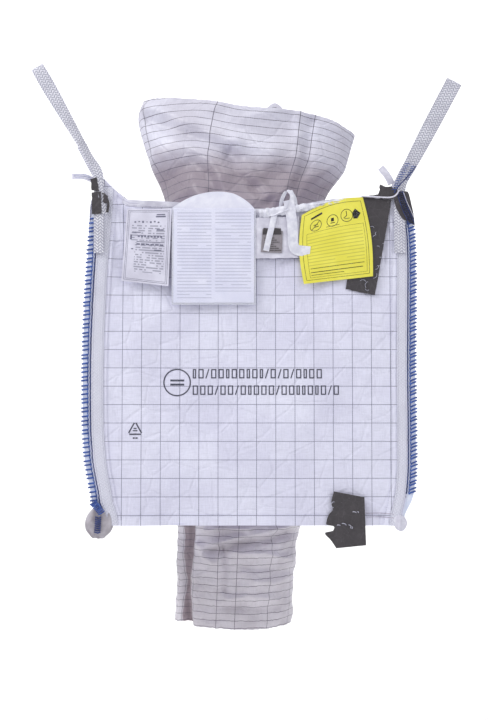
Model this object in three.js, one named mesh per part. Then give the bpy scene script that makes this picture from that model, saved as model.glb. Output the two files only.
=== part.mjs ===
// Bulk bag (FIBC) hung open by its four corner loops: coated woven fabric body, filling spout on top,
// discharge spout below, lifting webbing, seams, labels and ties. Millimetres, +Z up, front towards -Y.
// The origin is midway between the tops of the four lifting loops.
import * as THREE from 'three';

// ---- Driving dimensions -------------------------------------------------------------------------
const HALF = 425;            // half the base side, at the outer face of the fabric
const FABRIC = 2;            // thickness of a fabric panel's solid
const RIM_MID = 848;         // rim height at the middle of a side, above the bottom edge
const RIM_CORNER = 872;      // rim height at the corners, where the loops pull it up
const GAP = 0.3;             // clearance between sewn layers
const TRIM = 2.2;            // thickness of bands, bindings and hems
const WEBBING = 3;           // thickness of the lifting webbing
const WEB_WIDTH = 40;        // width of the lifting webbing
const LAYER_1 = HALF + GAP;                      // bands, bindings and hems start here
const LAYER_2 = LAYER_1 + TRIM + GAP;            // loop legs and the pieces tucked at the rim
const LAYER_3 = LAYER_2 + WEBBING + 0.5;         // labels, pouch, sleeves and ties

const LOOP_X = 405;          // loop pivot, from the middle
const LOOP_Z = 908;          // loop pivot, above the bottom edge
const LOOP_LEAN = 28;        // outward lean of the hung loops, degrees
const LOOP_LENGTH = { left: 337, right: 300 };   // free length above the pivot
const LOOP_SPREAD = 39;      // outside distance between a loop's two legs
const LOOP_TIP = 16;         // outside width of the fold at the tip
const LEG_LOW = 727;         // lower end of the sewn legs
const LEG_HIGH = 885;        // upper end of the sewn legs

const SPOUT_LEAN = 15;       // largest lean of either spout, degrees
const FILL = { x: -7, z: 840, radius: 218, wall: 2.5, topX: -3, topA: 316, topB: 82, topZ: 1208, slope: 0.1535 };
const DRAIN = { x: -29, z: 4.5, radius: 184, wall: 2.5, lowX: -44, lowA: 178, lowB: 120, lowZ: -336 };
const LEFT = -1;
const RIGHT = 1;

const tipX = (side) => {
  const length = side === LEFT ? LOOP_LENGTH.left : LOOP_LENGTH.right;
  return side * (LOOP_X + length * Math.sin(THREE.MathUtils.degToRad(LOOP_LEAN)));
};
const tipZ = (side) => {
  const length = side === LEFT ? LOOP_LENGTH.left : LOOP_LENGTH.right;
  return LOOP_Z + length * Math.cos(THREE.MathUtils.degToRad(LOOP_LEAN));
};
const ORIGIN = new THREE.Vector3((tipX(LEFT) + tipX(RIGHT)) / 2, 0, (tipZ(LEFT) + tipZ(RIGHT)) / 2);

// ---- Materials ----------------------------------------------------------------------------------
const finish = (color, roughness) => () => new THREE.MeshStandardMaterial({ color, roughness, metalness: 0 });
const panelFabric = finish('#d8d8eb', 0.55);
const spoutFabric = finish('#c9c6d4', 0.5);
const drainFabric = finish('#b4b1ba', 0.55);
const webbing = finish('#dcdde8', 0.75);
const blueThread = finish('#3a62b8', 0.7);
const trimFabric = finish('#d7d5e1', 0.7);
const whiteLabel = finish('#e4e4f0', 0.5);
const yellowLabel = finish('#efe83a', 0.45);
const pouchFilm = finish('#e2e6f2', 0.25);
const paper = finish('#e6e6f5', 0.8);
const blackFilm = finish('#2b2a2e', 0.35);
const greyCard = finish('#95909a', 0.6);
const tapeFabric = finish('#e2e1ea', 0.7);

// ---- Building helpers ---------------------------------------------------------------------------
const bag = new THREE.Group();
bag.position.copy(ORIGIN).negate();

function add(name, geometry, material, parent = bag) {
  const mesh = new THREE.Mesh(geometry, material());
  mesh.name = name;
  parent.add(mesh);
  return mesh;
}

function outline(points) {
  return new THREE.Shape(points.map(([u, v]) => new THREE.Vector2(u, v)));
}

const rectangle = (u0, v0, u1, v1) => [[u0, v0], [u1, v0], [u1, v1], [u0, v1]];

function extrude(shape, thickness) {
  return new THREE.ExtrudeGeometry(shape, { depth: thickness, bevelEnabled: false, curveSegments: 24 });
}

// A plate whose outline is in X and Z; side -1 puts it on the front, +1 on the back, from `from` outwards.
function plateXZ(points, side, from, thickness) {
  const geometry = extrude(outline(points), thickness);
  const basis = new THREE.Matrix4().makeBasis(
    new THREE.Vector3(1, 0, 0), new THREE.Vector3(0, 0, 1), new THREE.Vector3(0, -1, 0));
  geometry.applyMatrix4(basis);
  geometry.translate(0, side < 0 ? -from : from + thickness, 0);
  return geometry;
}

// A plate whose outline is in Y and Z; side -1 puts it on the left, +1 on the right, from `from` outwards.
function plateYZ(points, side, from, thickness) {
  const geometry = extrude(outline(points), thickness);
  const basis = new THREE.Matrix4().makeBasis(
    new THREE.Vector3(0, 1, 0), new THREE.Vector3(0, 0, 1), new THREE.Vector3(1, 0, 0));
  geometry.applyMatrix4(basis);
  geometry.translate(side > 0 ? from : -from - thickness, 0, 0);
  return geometry;
}

// The rim sags between the corners as a parabola.
const rimHeight = (u) => RIM_MID + (RIM_CORNER - RIM_MID) * (u / HALF) ** 2;

function rimPoints(from, to, drop = 0, count = 16) {
  const points = [];
  for (let i = 0; i <= count; i += 1) {
    const u = from + ((to - from) * i) / count;
    points.push([u, rimHeight(u) - drop]);
  }
  return points;
}

const wallOutline = (half) => [[-half, 0], [half, 0], ...rimPoints(half, -half)];
const rimStrip = (half, drop, height) => [...rimPoints(-half, half, drop + height), ...rimPoints(half, -half, drop)];

// A thin tube lofted through elliptical rings; ring(t) gives its centre, half axes and height rule.
function loftedTube(ring, wall, segments = 48, rings = 9) {
  const positions = [];
  const index = [];
  const loops = [];
  const addRing = (t, inset) => {
    const { x, a, b, height } = ring(t);
    const start = positions.length / 3;
    for (let i = 0; i < segments; i += 1) {
      const angle = (2 * Math.PI * i) / segments;
      const px = x + (a - inset) * Math.cos(angle);
      positions.push(px, (b - inset) * Math.sin(angle), height(px));
    }
    loops.push(start);
  };
  for (let r = 0; r < rings; r += 1) addRing(r / (rings - 1), 0);
  for (let r = rings - 1; r >= 0; r -= 1) addRing(r / (rings - 1), wall);
  for (let k = 0; k < loops.length; k += 1) {
    const low = loops[k];
    const high = loops[(k + 1) % loops.length];
    for (let i = 0; i < segments; i += 1) {
      const j = (i + 1) % segments;
      index.push(low + i, low + j, high + j, low + i, high + j, high + i);
    }
  }
  const geometry = new THREE.BufferGeometry();
  geometry.setAttribute('position', new THREE.Float32BufferAttribute(positions, 3));
  geometry.setIndex(index);
  return geometry;
}

function roundHole(x, radius) {
  const hole = new THREE.Path();
  hole.absarc(x, 0, radius, 0, 2 * Math.PI, true);
  return hole;
}

// ---- Body panels --------------------------------------------------------------------------------
const inner = HALF - FABRIC;
const sideHalf = inner - GAP;
add('front_panel', plateXZ(wallOutline(HALF), -1, inner, FABRIC), panelFabric);
add('back_panel', plateXZ(wallOutline(HALF), 1, inner, FABRIC), panelFabric);
add('left_panel', plateYZ(wallOutline(sideHalf), LEFT, inner, FABRIC), panelFabric);
add('right_panel', plateYZ(wallOutline(sideHalf), RIGHT, inner, FABRIC), panelFabric);

const holeFactor = 1 / Math.cos(THREE.MathUtils.degToRad(SPOUT_LEAN));
function panelWithHole(half, x, radius, z) {
  const shape = outline(rectangle(-half, -half, half, half));
  shape.holes.push(roundHole(x, radius * holeFactor + 3));
  const geometry = extrude(shape, FABRIC);
  geometry.translate(0, 0, z - FABRIC / 2);
  return geometry;
}
add('top_panel', panelWithHole(inner - 1, FILL.x, FILL.radius, FILL.z), panelFabric);
add('bottom_panel', panelWithHole(inner - 6, DRAIN.x, DRAIN.radius, DRAIN.z), panelFabric);

// ---- Spouts and the seam rings round their bases ------------------------------------------------
const mix = THREE.MathUtils.lerp;
const fillTop = (x) => FILL.topZ - FILL.slope * (x - FILL.topX);
add('filling_spout', loftedTube((t) => ({
  x: mix(FILL.x, FILL.topX, t),
  a: mix(FILL.radius, FILL.topA, t),
  b: mix(FILL.radius, FILL.topB, t),
  height: (x) => mix(FILL.z, fillTop(x), t),
}), FILL.wall), spoutFabric);
add('discharge_spout', loftedTube((t) => ({
  x: mix(DRAIN.lowX, DRAIN.x, t),
  a: mix(DRAIN.lowA, DRAIN.radius, t),
  b: mix(DRAIN.lowB, DRAIN.radius, t),
  height: () => mix(DRAIN.lowZ, DRAIN.z, t),
}), DRAIN.wall), drainFabric);

function seamRing(x, radius, z) {
  const shape = new THREE.Shape();
  shape.absarc(x, 0, radius + 14, 0, 2 * Math.PI, false);
  shape.holes.push(roundHole(x, radius));
  const geometry = extrude(shape, TRIM);
  geometry.translate(0, 0, z);
  return geometry;
}
add('filling_spout_seam', seamRing(FILL.x, FILL.radius * holeFactor + 5, FILL.z - FABRIC / 2 - GAP - TRIM),
  trimFabric);
add('discharge_spout_seam', seamRing(DRAIN.x, DRAIN.radius * holeFactor + 5, DRAIN.z + FABRIC / 2 + GAP),
  trimFabric);

// ---- Rim bindings and bottom hems ---------------------------------------------------------------
const faceHalf = LOOP_X - WEB_WIDTH / 2 - 7;     // bindings and hems stop beside the webbing bands
const sideTrimHalf = HALF - 10;
const hemHeight = 14;
const bindingHeight = 18;
for (const [name, side] of [['front', -1], ['back', 1]]) {
  const strip = rimStrip(faceHalf, 1, bindingHeight);
  add(`rim_binding_${name}`, plateXZ(strip, side, LAYER_1, TRIM), trimFabric);
  const hem = rectangle(-faceHalf, 0, faceHalf, hemHeight);
  add(`bottom_hem_${name}`, plateXZ(hem, side, LAYER_1, TRIM), trimFabric);
}
for (const [name, side] of [['left', LEFT], ['right', RIGHT]]) {
  const strip = rimStrip(sideTrimHalf, 1, bindingHeight);
  add(`rim_binding_${name}`, plateYZ(strip, side, LAYER_1, TRIM), trimFabric);
  const hem = rectangle(-sideTrimHalf, 0, sideTrimHalf, hemHeight);
  add(`bottom_hem_${name}`, plateYZ(hem, side, LAYER_1, TRIM), trimFabric);
}

// ---- Corners: overlocked seam, webbing band, sewn loop legs and the free loop --------------------
const SEAM_OUT = 20;
const SEAM_THICK = 4;
const BAND_X = 400;

// The loop's band seen along its width: two legs that close towards a round fold at the tip.
function loopOutline(length) {
  const line = (spread, tip, top) => {
    const shoulder = top - tip / 2;
    const points = [[-spread / 2, 4]];
    for (let i = 0; i <= 12; i += 1) {
      const angle = Math.PI * (1 - i / 12);
      points.push([(tip / 2) * Math.cos(angle), shoulder + (tip / 2) * Math.sin(angle)]);
    }
    points.push([spread / 2, 4]);
    return points;
  };
  const outside = line(LOOP_SPREAD, LOOP_TIP, length);
  const inside = line(LOOP_SPREAD - 2 * WEBBING, LOOP_TIP - 2 * WEBBING, length - WEBBING).reverse();
  return [...outside, ...inside];
}

for (const [sideName, side] of [['left', LEFT], ['right', RIGHT]]) {
  for (const [faceName, face] of [['front', -1], ['back', 1]]) {
    const corner = `${faceName}_${sideName}`;
    const seam = new THREE.BoxGeometry(SEAM_OUT, SEAM_THICK, RIM_MID);
    seam.translate(side * (LAYER_1 + SEAM_OUT / 2), face * (HALF - SEAM_THICK / 2), RIM_MID / 2);
    add(`corner_seam_${corner}`, seam, blueThread);

    const bandU = side * BAND_X;
    const band = rectangle(bandU - WEB_WIDTH / 2, 0, bandU + WEB_WIDTH / 2, RIM_CORNER - 4);
    add(`webbing_band_${corner}`, plateXZ(band, face, LAYER_1, TRIM), webbing);

    const legU = side * LOOP_X;
    const leg = rectangle(legU - WEB_WIDTH / 2, LEG_LOW, legU + WEB_WIDTH / 2, LEG_HIGH);
    add(`loop_leg_face_${corner}`, plateXZ(leg, face, LAYER_2, WEBBING), webbing);
    const sideLegU = face * (HALF - 33);
    const sideLeg = rectangle(sideLegU - WEB_WIDTH / 2, LEG_LOW, sideLegU + WEB_WIDTH / 2, LEG_HIGH);
    add(`loop_leg_side_${corner}`, plateYZ(sideLeg, side, LAYER_2, WEBBING), webbing);

    const length = side === LEFT ? LOOP_LENGTH.left : LOOP_LENGTH.right;
    const loop = extrude(outline(loopOutline(length)), WEB_WIDTH);
    loop.applyMatrix4(new THREE.Matrix4().makeBasis(
      new THREE.Vector3(0, 1, 0), new THREE.Vector3(0, 0, 1), new THREE.Vector3(1, 0, 0)));
    loop.translate(-WEB_WIDTH / 2, 0, 0);
    const pivot = new THREE.Group();
    pivot.position.set(legU, face * (LAYER_2 + WEBBING - LOOP_SPREAD / 2), LOOP_Z);
    pivot.rotation.y = side * THREE.MathUtils.degToRad(LOOP_LEAN);
    bag.add(pivot);
    add(`lifting_loop_${corner}`, loop, webbing, pivot);
  }
}

// ---- Labels, pouch and film on the front --------------------------------------------------------
const LABEL = 1.5;           // thickness of a label's solid
const POUCH = 3;             // thickness of the pouch across its pocket
const POUCH_FILM = 0.9;
const SHEET = 0.5;
const POUCH_BOX = { left: -204, right: 17, low: 590, high: 878, edge: 3 };
const WHITE_BOX = { left: -337, right: -209, low: 640, high: 848 };
const YELLOW = { x: 238, top: 858, width: 186, height: 222, tilt: 7 };
const STRIP = { x: 326, top: 872, width: 78, height: 250, tilt: -10 };

// A flat piece on the front, hung from the middle of its top edge and tilted in its own plane.
function frontPiece(name, points, from, thickness, material, x = 0, z = 0, tilt = 0) {
  const geometry = plateXZ(points, -1, 0, thickness);
  const mesh = add(name, geometry, material);
  mesh.position.set(x, -from, z);
  mesh.rotation.y = -THREE.MathUtils.degToRad(tilt);
  return mesh;
}

add('white_label', plateXZ(
  rectangle(WHITE_BOX.left, WHITE_BOX.low, WHITE_BOX.right, WHITE_BOX.high), -1, LAYER_3, LABEL), whiteLabel);
frontPiece('yellow_label', rectangle(-YELLOW.width / 2, -YELLOW.height, YELLOW.width / 2, 0),
  LAYER_3, LABEL, yellowLabel, YELLOW.x, YELLOW.top, YELLOW.tilt);
frontPiece('black_strip', rectangle(-STRIP.width / 2, -STRIP.height, STRIP.width / 2, 0),
  LAYER_2 + GAP, LABEL, blackFilm, STRIP.x, STRIP.top, STRIP.tilt);

// The pouch is one folded film, open at the top: its section in Y and Z is a narrow U.
function pouchGeometry() {
  const { left, right, low, high } = POUCH_BOX;
  const section = [[0, low], [0, high], [POUCH_FILM, high], [POUCH_FILM, low + POUCH_FILM],
    [POUCH - POUCH_FILM, low + POUCH_FILM], [POUCH - POUCH_FILM, high], [POUCH, high], [POUCH, low]];
  const geometry = extrude(outline(section.reverse()), right - left);
  geometry.applyMatrix4(new THREE.Matrix4().makeBasis(
    new THREE.Vector3(0, 1, 0), new THREE.Vector3(0, 0, 1), new THREE.Vector3(1, 0, 0)));
  geometry.translate(left, -LAYER_3 - POUCH, 0);
  return geometry;
}
add('document_pouch', pouchGeometry(), pouchFilm);
const sheetInset = POUCH_BOX.edge + 2;
add('document_sheet', plateXZ(rectangle(POUCH_BOX.left + sheetInset, POUCH_BOX.low + sheetInset,
  POUCH_BOX.right - sheetInset, POUCH_BOX.high - sheetInset), -1,
LAYER_3 + (POUCH - SHEET) / 2, SHEET), paper);

add('tag_backing', plateXZ(rectangle(22, 712, 128, 826), -1, LAYER_2, LABEL), tapeFabric);
add('grey_tag', plateXZ(rectangle(36, 739, 95, 800), -1, LAYER_2 + LABEL + GAP, LABEL), greyCard);
add('rim_film', plateXZ([[346, 868], [381, 866], [380, 894], [362, 904], [349, 890]], -1,
  LAYER_3 + LABEL + 0.6, LABEL), blackFilm);
add('rim_ribbon', plateXZ([[36, 829], [140, 838], [246, 858], [256, 876], [140, 866], [40, 851]], -1,
  LAYER_2, LABEL), tapeFabric);
add('corner_sleeve_left', plateXZ(rectangle(-423, 812, -393, 884), -1, LAYER_3, LABEL), blackFilm);
add('corner_sleeve_right', plateXZ(rectangle(393, 773, 436, 884), -1, LAYER_3, LABEL), blackFilm);
add('black_patch', plateXZ([[231, -59], [311, -51], [307, 75], [228, 91], [209, 27], [228, -2],
  [202, -19]], -1, LAYER_1 + TRIM + GAP, LABEL), blackFilm);

// ---- Tie tapes that hang from the rim -----------------------------------------------------------
const TIE_THICK = 1.2;
function tape(name, route, width, from) {
  const near = [];
  const far = [];
  route.forEach(([u, v], i) => {
    const [u0, v0] = route[Math.max(i - 1, 0)];
    const [u1, v1] = route[Math.min(i + 1, route.length - 1)];
    const run = Math.hypot(u1 - u0, v1 - v0);
    const side = [(-(v1 - v0) / run) * (width / 2), ((u1 - u0) / run) * (width / 2)];
    near.push([u + side[0], v + side[1]]);
    far.unshift([u - side[0], v - side[1]]);
  });
  add(name, plateXZ([...near, ...far], -1, from, TIE_THICK), tapeFabric);
}
const TIE_FRONT = LAYER_3 + LABEL + GAP;
tape('tie_tape_narrow', [[71, 842], [66, 815], [60, 788], [55, 760], [50, 734]], 13, TIE_FRONT);
tape('tie_tape_wide', [[111, 846], [114, 815], [118, 780], [120, 745], [124, 718], [138, 704],
  [162, 701]], 27, TIE_FRONT);

const group = new THREE.Group();
group.add(bag);
export default group;
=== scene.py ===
import math
import random

import bmesh
import bpy
import numpy as np
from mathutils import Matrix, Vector, noise


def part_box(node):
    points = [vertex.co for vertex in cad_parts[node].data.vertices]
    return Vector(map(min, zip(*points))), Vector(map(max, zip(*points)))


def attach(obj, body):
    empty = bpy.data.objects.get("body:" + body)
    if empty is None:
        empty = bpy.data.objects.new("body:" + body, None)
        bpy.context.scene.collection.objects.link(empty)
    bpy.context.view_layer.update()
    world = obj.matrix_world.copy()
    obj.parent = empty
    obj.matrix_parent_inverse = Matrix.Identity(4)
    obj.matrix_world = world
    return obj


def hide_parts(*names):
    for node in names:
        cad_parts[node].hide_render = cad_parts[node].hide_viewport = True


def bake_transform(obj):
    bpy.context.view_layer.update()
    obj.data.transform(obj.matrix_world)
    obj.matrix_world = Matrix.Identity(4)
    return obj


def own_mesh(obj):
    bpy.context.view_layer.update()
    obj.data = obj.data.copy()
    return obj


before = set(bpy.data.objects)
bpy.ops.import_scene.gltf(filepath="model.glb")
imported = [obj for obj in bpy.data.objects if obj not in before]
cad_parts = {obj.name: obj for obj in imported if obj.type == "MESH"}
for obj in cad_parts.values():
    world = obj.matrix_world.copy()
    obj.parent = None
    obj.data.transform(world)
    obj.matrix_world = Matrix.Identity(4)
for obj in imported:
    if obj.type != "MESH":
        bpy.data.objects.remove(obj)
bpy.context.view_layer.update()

PANEL_LOW, PANEL_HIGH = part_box("front_panel")
CENTRE_X = (PANEL_LOW.x + PANEL_HIGH.x) / 2
HEM_Z = PANEL_LOW.z
HALF = (PANEL_HIGH.x - PANEL_LOW.x) * 500
FRONT = -1
BACK = 1
LEFT = -1
RIGHT = 1
FACES = {"front": FRONT, "back": BACK}
SIDES = {"left": LEFT, "right": RIGHT}
CORNERS = [(wall, face, label, side) for wall, face in FACES.items() for label, side in SIDES.items()]


def at(x, y, z):
    """A point of the bag, in millimetres, as a point of the frame, in metres."""
    return Vector((CENTRE_X + x / 1000, y / 1000, HEM_Z + z / 1000))


# ---- Small maths --------------------------------------------------------------------------------


def mix(a, b, t):
    return a + (b - a) * t


def smooth(a, b, value):
    """0 below a, 1 above b, and a smooth rise between."""
    t = min(max((value - a) / (b - a), 0.0), 1.0)
    return t * t * (3 - 2 * t)


def curve(points):
    """A smooth function through (input, output) points, flat beyond its ends."""
    xs, ys = zip(*points)
    last = len(xs) - 1
    slopes = []
    for i in range(len(xs)):
        low, high = max(i - 1, 0), min(i + 1, last)
        slopes.append((ys[high] - ys[low]) / (xs[high] - xs[low]))

    def value(x):
        if x <= xs[0]:
            return ys[0]
        if x >= xs[-1]:
            return ys[-1]
        i = max(k for k in range(last) if xs[k] <= x)
        span = xs[i + 1] - xs[i]
        t = (x - xs[i]) / span
        a = (1 + 2 * t) * (1 - t) ** 2 * ys[i] + t * (1 - t) ** 2 * span * slopes[i]
        return a + t * t * (3 - 2 * t) * ys[i + 1] + t * t * (t - 1) * span * slopes[i + 1]

    return value


def through(values, counts, before, after):
    """A smooth line through the values, with its own count of steps in each stretch.

    before and after are the values beyond its ends, which set how it starts and stops.
    """
    ext = [before, *values, after]
    line = []
    for i, count in enumerate(counts):
        p0, p1, p2, p3 = ext[i:i + 4]
        for k in range(count):
            t = k / count
            line.append(0.5 * ((2 * p1) + (p2 - p0) * t + (2 * p0 - 5 * p1 + 4 * p2 - p3) * t * t
                               + (3 * p1 - p0 - 3 * p2 + p3) * t ** 3))
    return line + [values[-1]]


def step_counts(points, step):
    return [max(2, round((q - p).length / step)) for p, q in zip(points, points[1:])]


def spline(points, step):
    """Points every step millimetres or so along a smooth line through the given 3-D points."""
    points = [Vector(p) for p in points]
    before, after = points[0] * 2 - points[1], points[-1] * 2 - points[-2]
    return through(points, step_counts(points, step), before, after)


def billow(x, z, size, seed):
    return noise.noise(Vector((x / size, z / size, seed)))


def crumple(x, z, size, seed):
    """Facets of creased fabric: 0 on a crease, up to about 1 in the middle of a facet."""
    warp = 0.35 * billow(x, z, size, seed + 7.3)
    near = noise.voronoi(Vector((x / size + warp, z / size - warp, seed)))[0]
    return near[1] - near[0]


def ridge(x, z, size, seed):
    """A long soft fold: 1 along its crest, falling to 0 on both sides."""
    return 1 - min(abs(billow(x, z, size, seed)) * 2.4, 1.0)


def along(x, z, points, wide):
    """1 on a line through (x, z) points, falling off smoothly over a width either side."""
    near = 1e9
    for (x0, z0), (x1, z1) in zip(points, points[1:]):
        length = (x1 - x0) ** 2 + (z1 - z0) ** 2
        t = min(max(((x - x0) * (x1 - x0) + (z - z0) * (z1 - z0)) / length, 0.0), 1.0)
        near = min(near, math.hypot(x - mix(x0, x1, t), z - mix(z0, z1, t)))
    return math.exp(-(near / wide) ** 2)


def creased(folds, x, z):
    """The sum of the folds' (height, width, points) at a place; a height below zero is a valley."""
    return sum(height * along(x, z, points, wide) for height, wide, points in folds)


# ---- Mesh helpers: their points, widths and radii are in millimetres ------------------------------


def finish_mesh(name, verts, faces, uvs, material, angle=50):
    mesh = bpy.data.meshes.new(name)
    mesh.from_pydata([tuple(at(*v)) for v in verts], [], faces)
    if uvs is not None:
        layer = mesh.uv_layers.new(name="cloth")
        layer.data.foreach_set("uv", [c for face in uvs for uv in face for c in uv])
    mesh.materials.append(material)
    bm = bmesh.new()
    bm.from_mesh(mesh)
    bmesh.ops.recalc_face_normals(bm, faces=bm.faces)
    bm.to_mesh(mesh)
    bm.free()
    mesh.polygons.foreach_set("use_smooth", [True] * len(mesh.polygons))
    mesh.set_sharp_from_angle(angle=math.radians(angle))
    obj = bpy.data.objects.new(name, mesh)
    bpy.context.scene.collection.objects.link(obj)
    return obj


def sheet(name, surface, cells, thickness, material, uv, wrap=False):
    """A thin closed sheet over surface(u, v), which gives a point for u and v from 0 to 1."""
    nu, nv = cells
    cols = nu if wrap else nu + 1
    points = np.array([[surface(i / nu, j / nv) for i in range(cols)] for j in range(nv + 1)], float)
    if wrap:
        around = np.concatenate([points[:, -1:], points, points[:, :1]], axis=1)
        du = around[:, 2:] - around[:, :-2]
    else:
        du = np.gradient(points, axis=1)
    normal = np.cross(du, np.gradient(points, axis=0))
    normal /= np.maximum(np.linalg.norm(normal, axis=2, keepdims=True), 1e-9)
    verts = [p for layer in (points, points - normal * thickness) for p in layer.reshape(-1, 3)]
    faces, uvs = [], []

    def add(corners):
        """A face between (layer, row, column) corners."""
        faces.append([layer * cols * (nv + 1) + j * cols + i % cols for layer, j, i in corners])
        uvs.append([uv(i / nu, j / nv) for _, j, i in corners])

    for j in range(nv):
        for i in range(nu):
            ring = [(j, i), (j, i + 1), (j + 1, i + 1), (j + 1, i)]
            add([(0, *p) for p in ring])
            add([(1, *p) for p in reversed(ring)])
    borders = [[(j, i) for i in range(nu + 1)] for j in (0, nv)]
    if not wrap:
        borders += [[(j, i) for j in range(nv + 1)] for i in (0, nu)]
    for border in borders:
        for p, q in zip(border, border[1:]):
            add([(0, *p), (0, *q), (1, *q), (1, *p)])
    return finish_mesh(name, verts, faces, uvs, material)


STRAP_SHARES = (-0.5, -0.25, 0, 0.25, 0.5)


def strap(name, line, across, width, thickness, material, bow):
    """A flat strap along a line; across(i) is the direction of its width at each point, width(i) its size."""
    verts, faces, uvs = [], [], []
    section = [(a, 0.5) for a in STRAP_SHARES] + [(a, -0.5) for a in reversed(STRAP_SHARES)]
    n = len(section)
    run = 0.0
    places = []
    for i, p in enumerate(line):
        if i:
            run += (p - line[i - 1]).length
        tangent = (line[min(i + 1, len(line) - 1)] - line[max(i - 1, 0)]).normalized()
        side = Vector(across(i))
        side = (side - tangent * side.dot(tangent)).normalized()
        up = side.cross(tangent)
        for a, b in section:
            verts.append(p + side * (a * width(i)) + up * (b * thickness + bow * (0.25 - a * a)))
        places.append(run / 1000)
    for i in range(len(line) - 1):
        for k in range(n):
            m = (k + 1) % n
            faces.append([i * n + k, i * n + m, (i + 1) * n + m, (i + 1) * n + k])
            uvs.append([(section[j][0] * width(i) / 1000, places[i + row])
                        for j, row in ((k, 0), (m, 0), (m, 1), (k, 1))])
    for start, order in ((0, 1), ((len(line) - 1) * n, -1)):
        faces.append([start + k for k in range(n)][::order])
        uvs.append([(0.0, 0.0)] * n)
    return finish_mesh(name, verts, faces, uvs, material)


def tube_parts(line, radius, sides):
    """Vertices and faces of a closed thread along a line."""
    verts, faces = [], []
    up = Vector((0, 0, 1))
    for i, p in enumerate(line):
        tangent = (line[min(i + 1, len(line) - 1)] - line[max(i - 1, 0)]).normalized()
        side = tangent.cross(up)
        if side.length < 0.2:
            side = tangent.cross(Vector((0.3, 1, 0.2)))
        side.normalize()
        up = side.cross(tangent)
        for k in range(sides):
            angle = 2 * math.pi * k / sides
            verts.append(p + (side * math.cos(angle) + up * math.sin(angle)) * radius)
    for i in range(len(line) - 1):
        for k in range(sides):
            m = (k + 1) % sides
            faces.append([i * sides + k, i * sides + m, (i + 1) * sides + m, (i + 1) * sides + k])
    faces.append(list(range(sides))[::-1])
    faces.append([(len(line) - 1) * sides + k for k in range(sides)])
    return verts, faces


def threads(name, lines, radius, material, sides=6):
    """One piece made of many closed threads."""
    verts, faces = [], []
    for line in lines:
        v, f = tube_parts(line, radius, sides)
        faces += [[len(verts) + k for k in face] for face in f]
        verts += v
    return finish_mesh(name, verts, faces, None, material, angle=80)


def dashes(path, dash, gap):
    """Short stitches along a path of points."""
    found = []
    run = 0.0
    current = [path[0]]
    drawing = True
    for p, q in zip(path, path[1:]):
        length = (q - p).length
        done = 0.0
        while done < length:
            goal = dash if drawing else gap
            move = min(goal - run, length - done)
            done += move
            run += move
            if run >= goal - 1e-6:
                here = p.lerp(q, done / length)
                if drawing:
                    found.append(current + [here])
                current = [here]
                drawing = not drawing
                run = 0.0
        if drawing:
            current.append(q)
    return [line for line in found if len(line) > 1]


def stitches(name, rows, dash, gap, radius):
    """One piece made of rows of short white stitches."""
    lines = [line for row in rows for line in dashes(row, dash, gap)]
    return threads(name, lines, radius, white_thread, sides=5)


def plates(name, outlines, place, thickness, material):
    """One piece of many thin plates; place(a, b, lift) puts a point of an outline on its surface."""
    verts, faces = [], []
    for outline in outlines:
        base = len(verts)
        n = len(outline)
        verts += [place(a, b, lift) for lift in (thickness, 0.0) for a, b in outline]
        faces.append([base + k for k in range(n)])
        faces.append([base + n + k for k in range(n)][::-1])
        for k in range(n):
            m = (k + 1) % n
            faces.append([base + k, base + n + k, base + n + m, base + m])
    return finish_mesh(name, verts, faces, None, material, angle=30)


def box_outline(a0, b0, a1, b1):
    return [(a0, b0), (a1, b0), (a1, b1), (a0, b1)]


def boxes(*corners):
    return [box_outline(*each) for each in corners]


def frame_outlines(a0, b0, a1, b1, line):
    """The four bars of a printed rectangle."""
    return boxes((a0, b0, a1, b0 + line), (a0, b1 - line, a1, b1),
                 (a0, b0 + line, a0 + line, b1 - line), (a1 - line, b0 + line, a1, b1 - line))


def ring_outlines(a, b, radius, line, count=28):
    """The short bars of a printed ring."""
    found = []
    for k in range(count):
        p, q = (2 * math.pi * (k + e) / count for e in (0, 1))
        found.append([(a + r * math.cos(t), b + r * math.sin(t))
                      for r, t in ((radius, p), (radius, q), (radius - line, q), (radius - line, p))])
    return found


def bar_outline(a0, b0, a1, b1, line):
    """A printed bar between two points."""
    length = math.hypot(a1 - a0, b1 - b0)
    na, nb = -(b1 - b0) / length * line / 2, (a1 - a0) / length * line / 2
    return [(a0 + na, b0 + nb), (a0 - na, b0 - nb), (a1 - na, b1 - nb), (a1 + na, b1 + nb)]


def bars(*ends):
    return [bar_outline(*each) for each in ends]


def split_outlines(outlines, longest):
    """Cuts long upright rectangles so that their pieces can follow a curved label."""
    found = []
    for outline in outlines:
        (a0, b0), (a1, b1) = outline[0], outline[2]
        if len(outline) != 4 or b0 != outline[1][1] or max(a1 - a0, b1 - b0) <= longest:
            found.append(outline)
            continue
        count = math.ceil(max(a1 - a0, b1 - b0) / longest)
        for k in range(count):
            s, t = k / count, (k + 1) / count
            if a1 - a0 > b1 - b0:
                found.append(box_outline(mix(a0, a1, s), b0, mix(a0, a1, t), b1))
            else:
                found.append(box_outline(a0, mix(b0, b1, s), a1, mix(b0, b1, t)))
    return found


# ---- How a piece is held ----------------------------------------------------------------------------


def on_body(obj, body, slot, *nodes):
    """Rides on a body, and stands for the named CAD nodes."""
    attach(obj, body)
    if nodes:
        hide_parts(*nodes)
    return obj


def on_wall(obj, slot, *nodes):
    """Rides on the bag's body with its own copy of its mesh, and stands for the named CAD nodes."""
    on_body(obj, "root", slot, *nodes)
    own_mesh(obj)


def strap_piece(name, points, across, width, material, slot, thickness=1.6, bow=1.5, step=5):
    """A short strap that rides on the bag."""
    piece = strap(name, spline(points, step), lambda i: across, lambda i: width, thickness, material, bow)
    on_body(piece, "root", slot)


# ---- Material nodes -----------------------------------------------------------------------------


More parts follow.
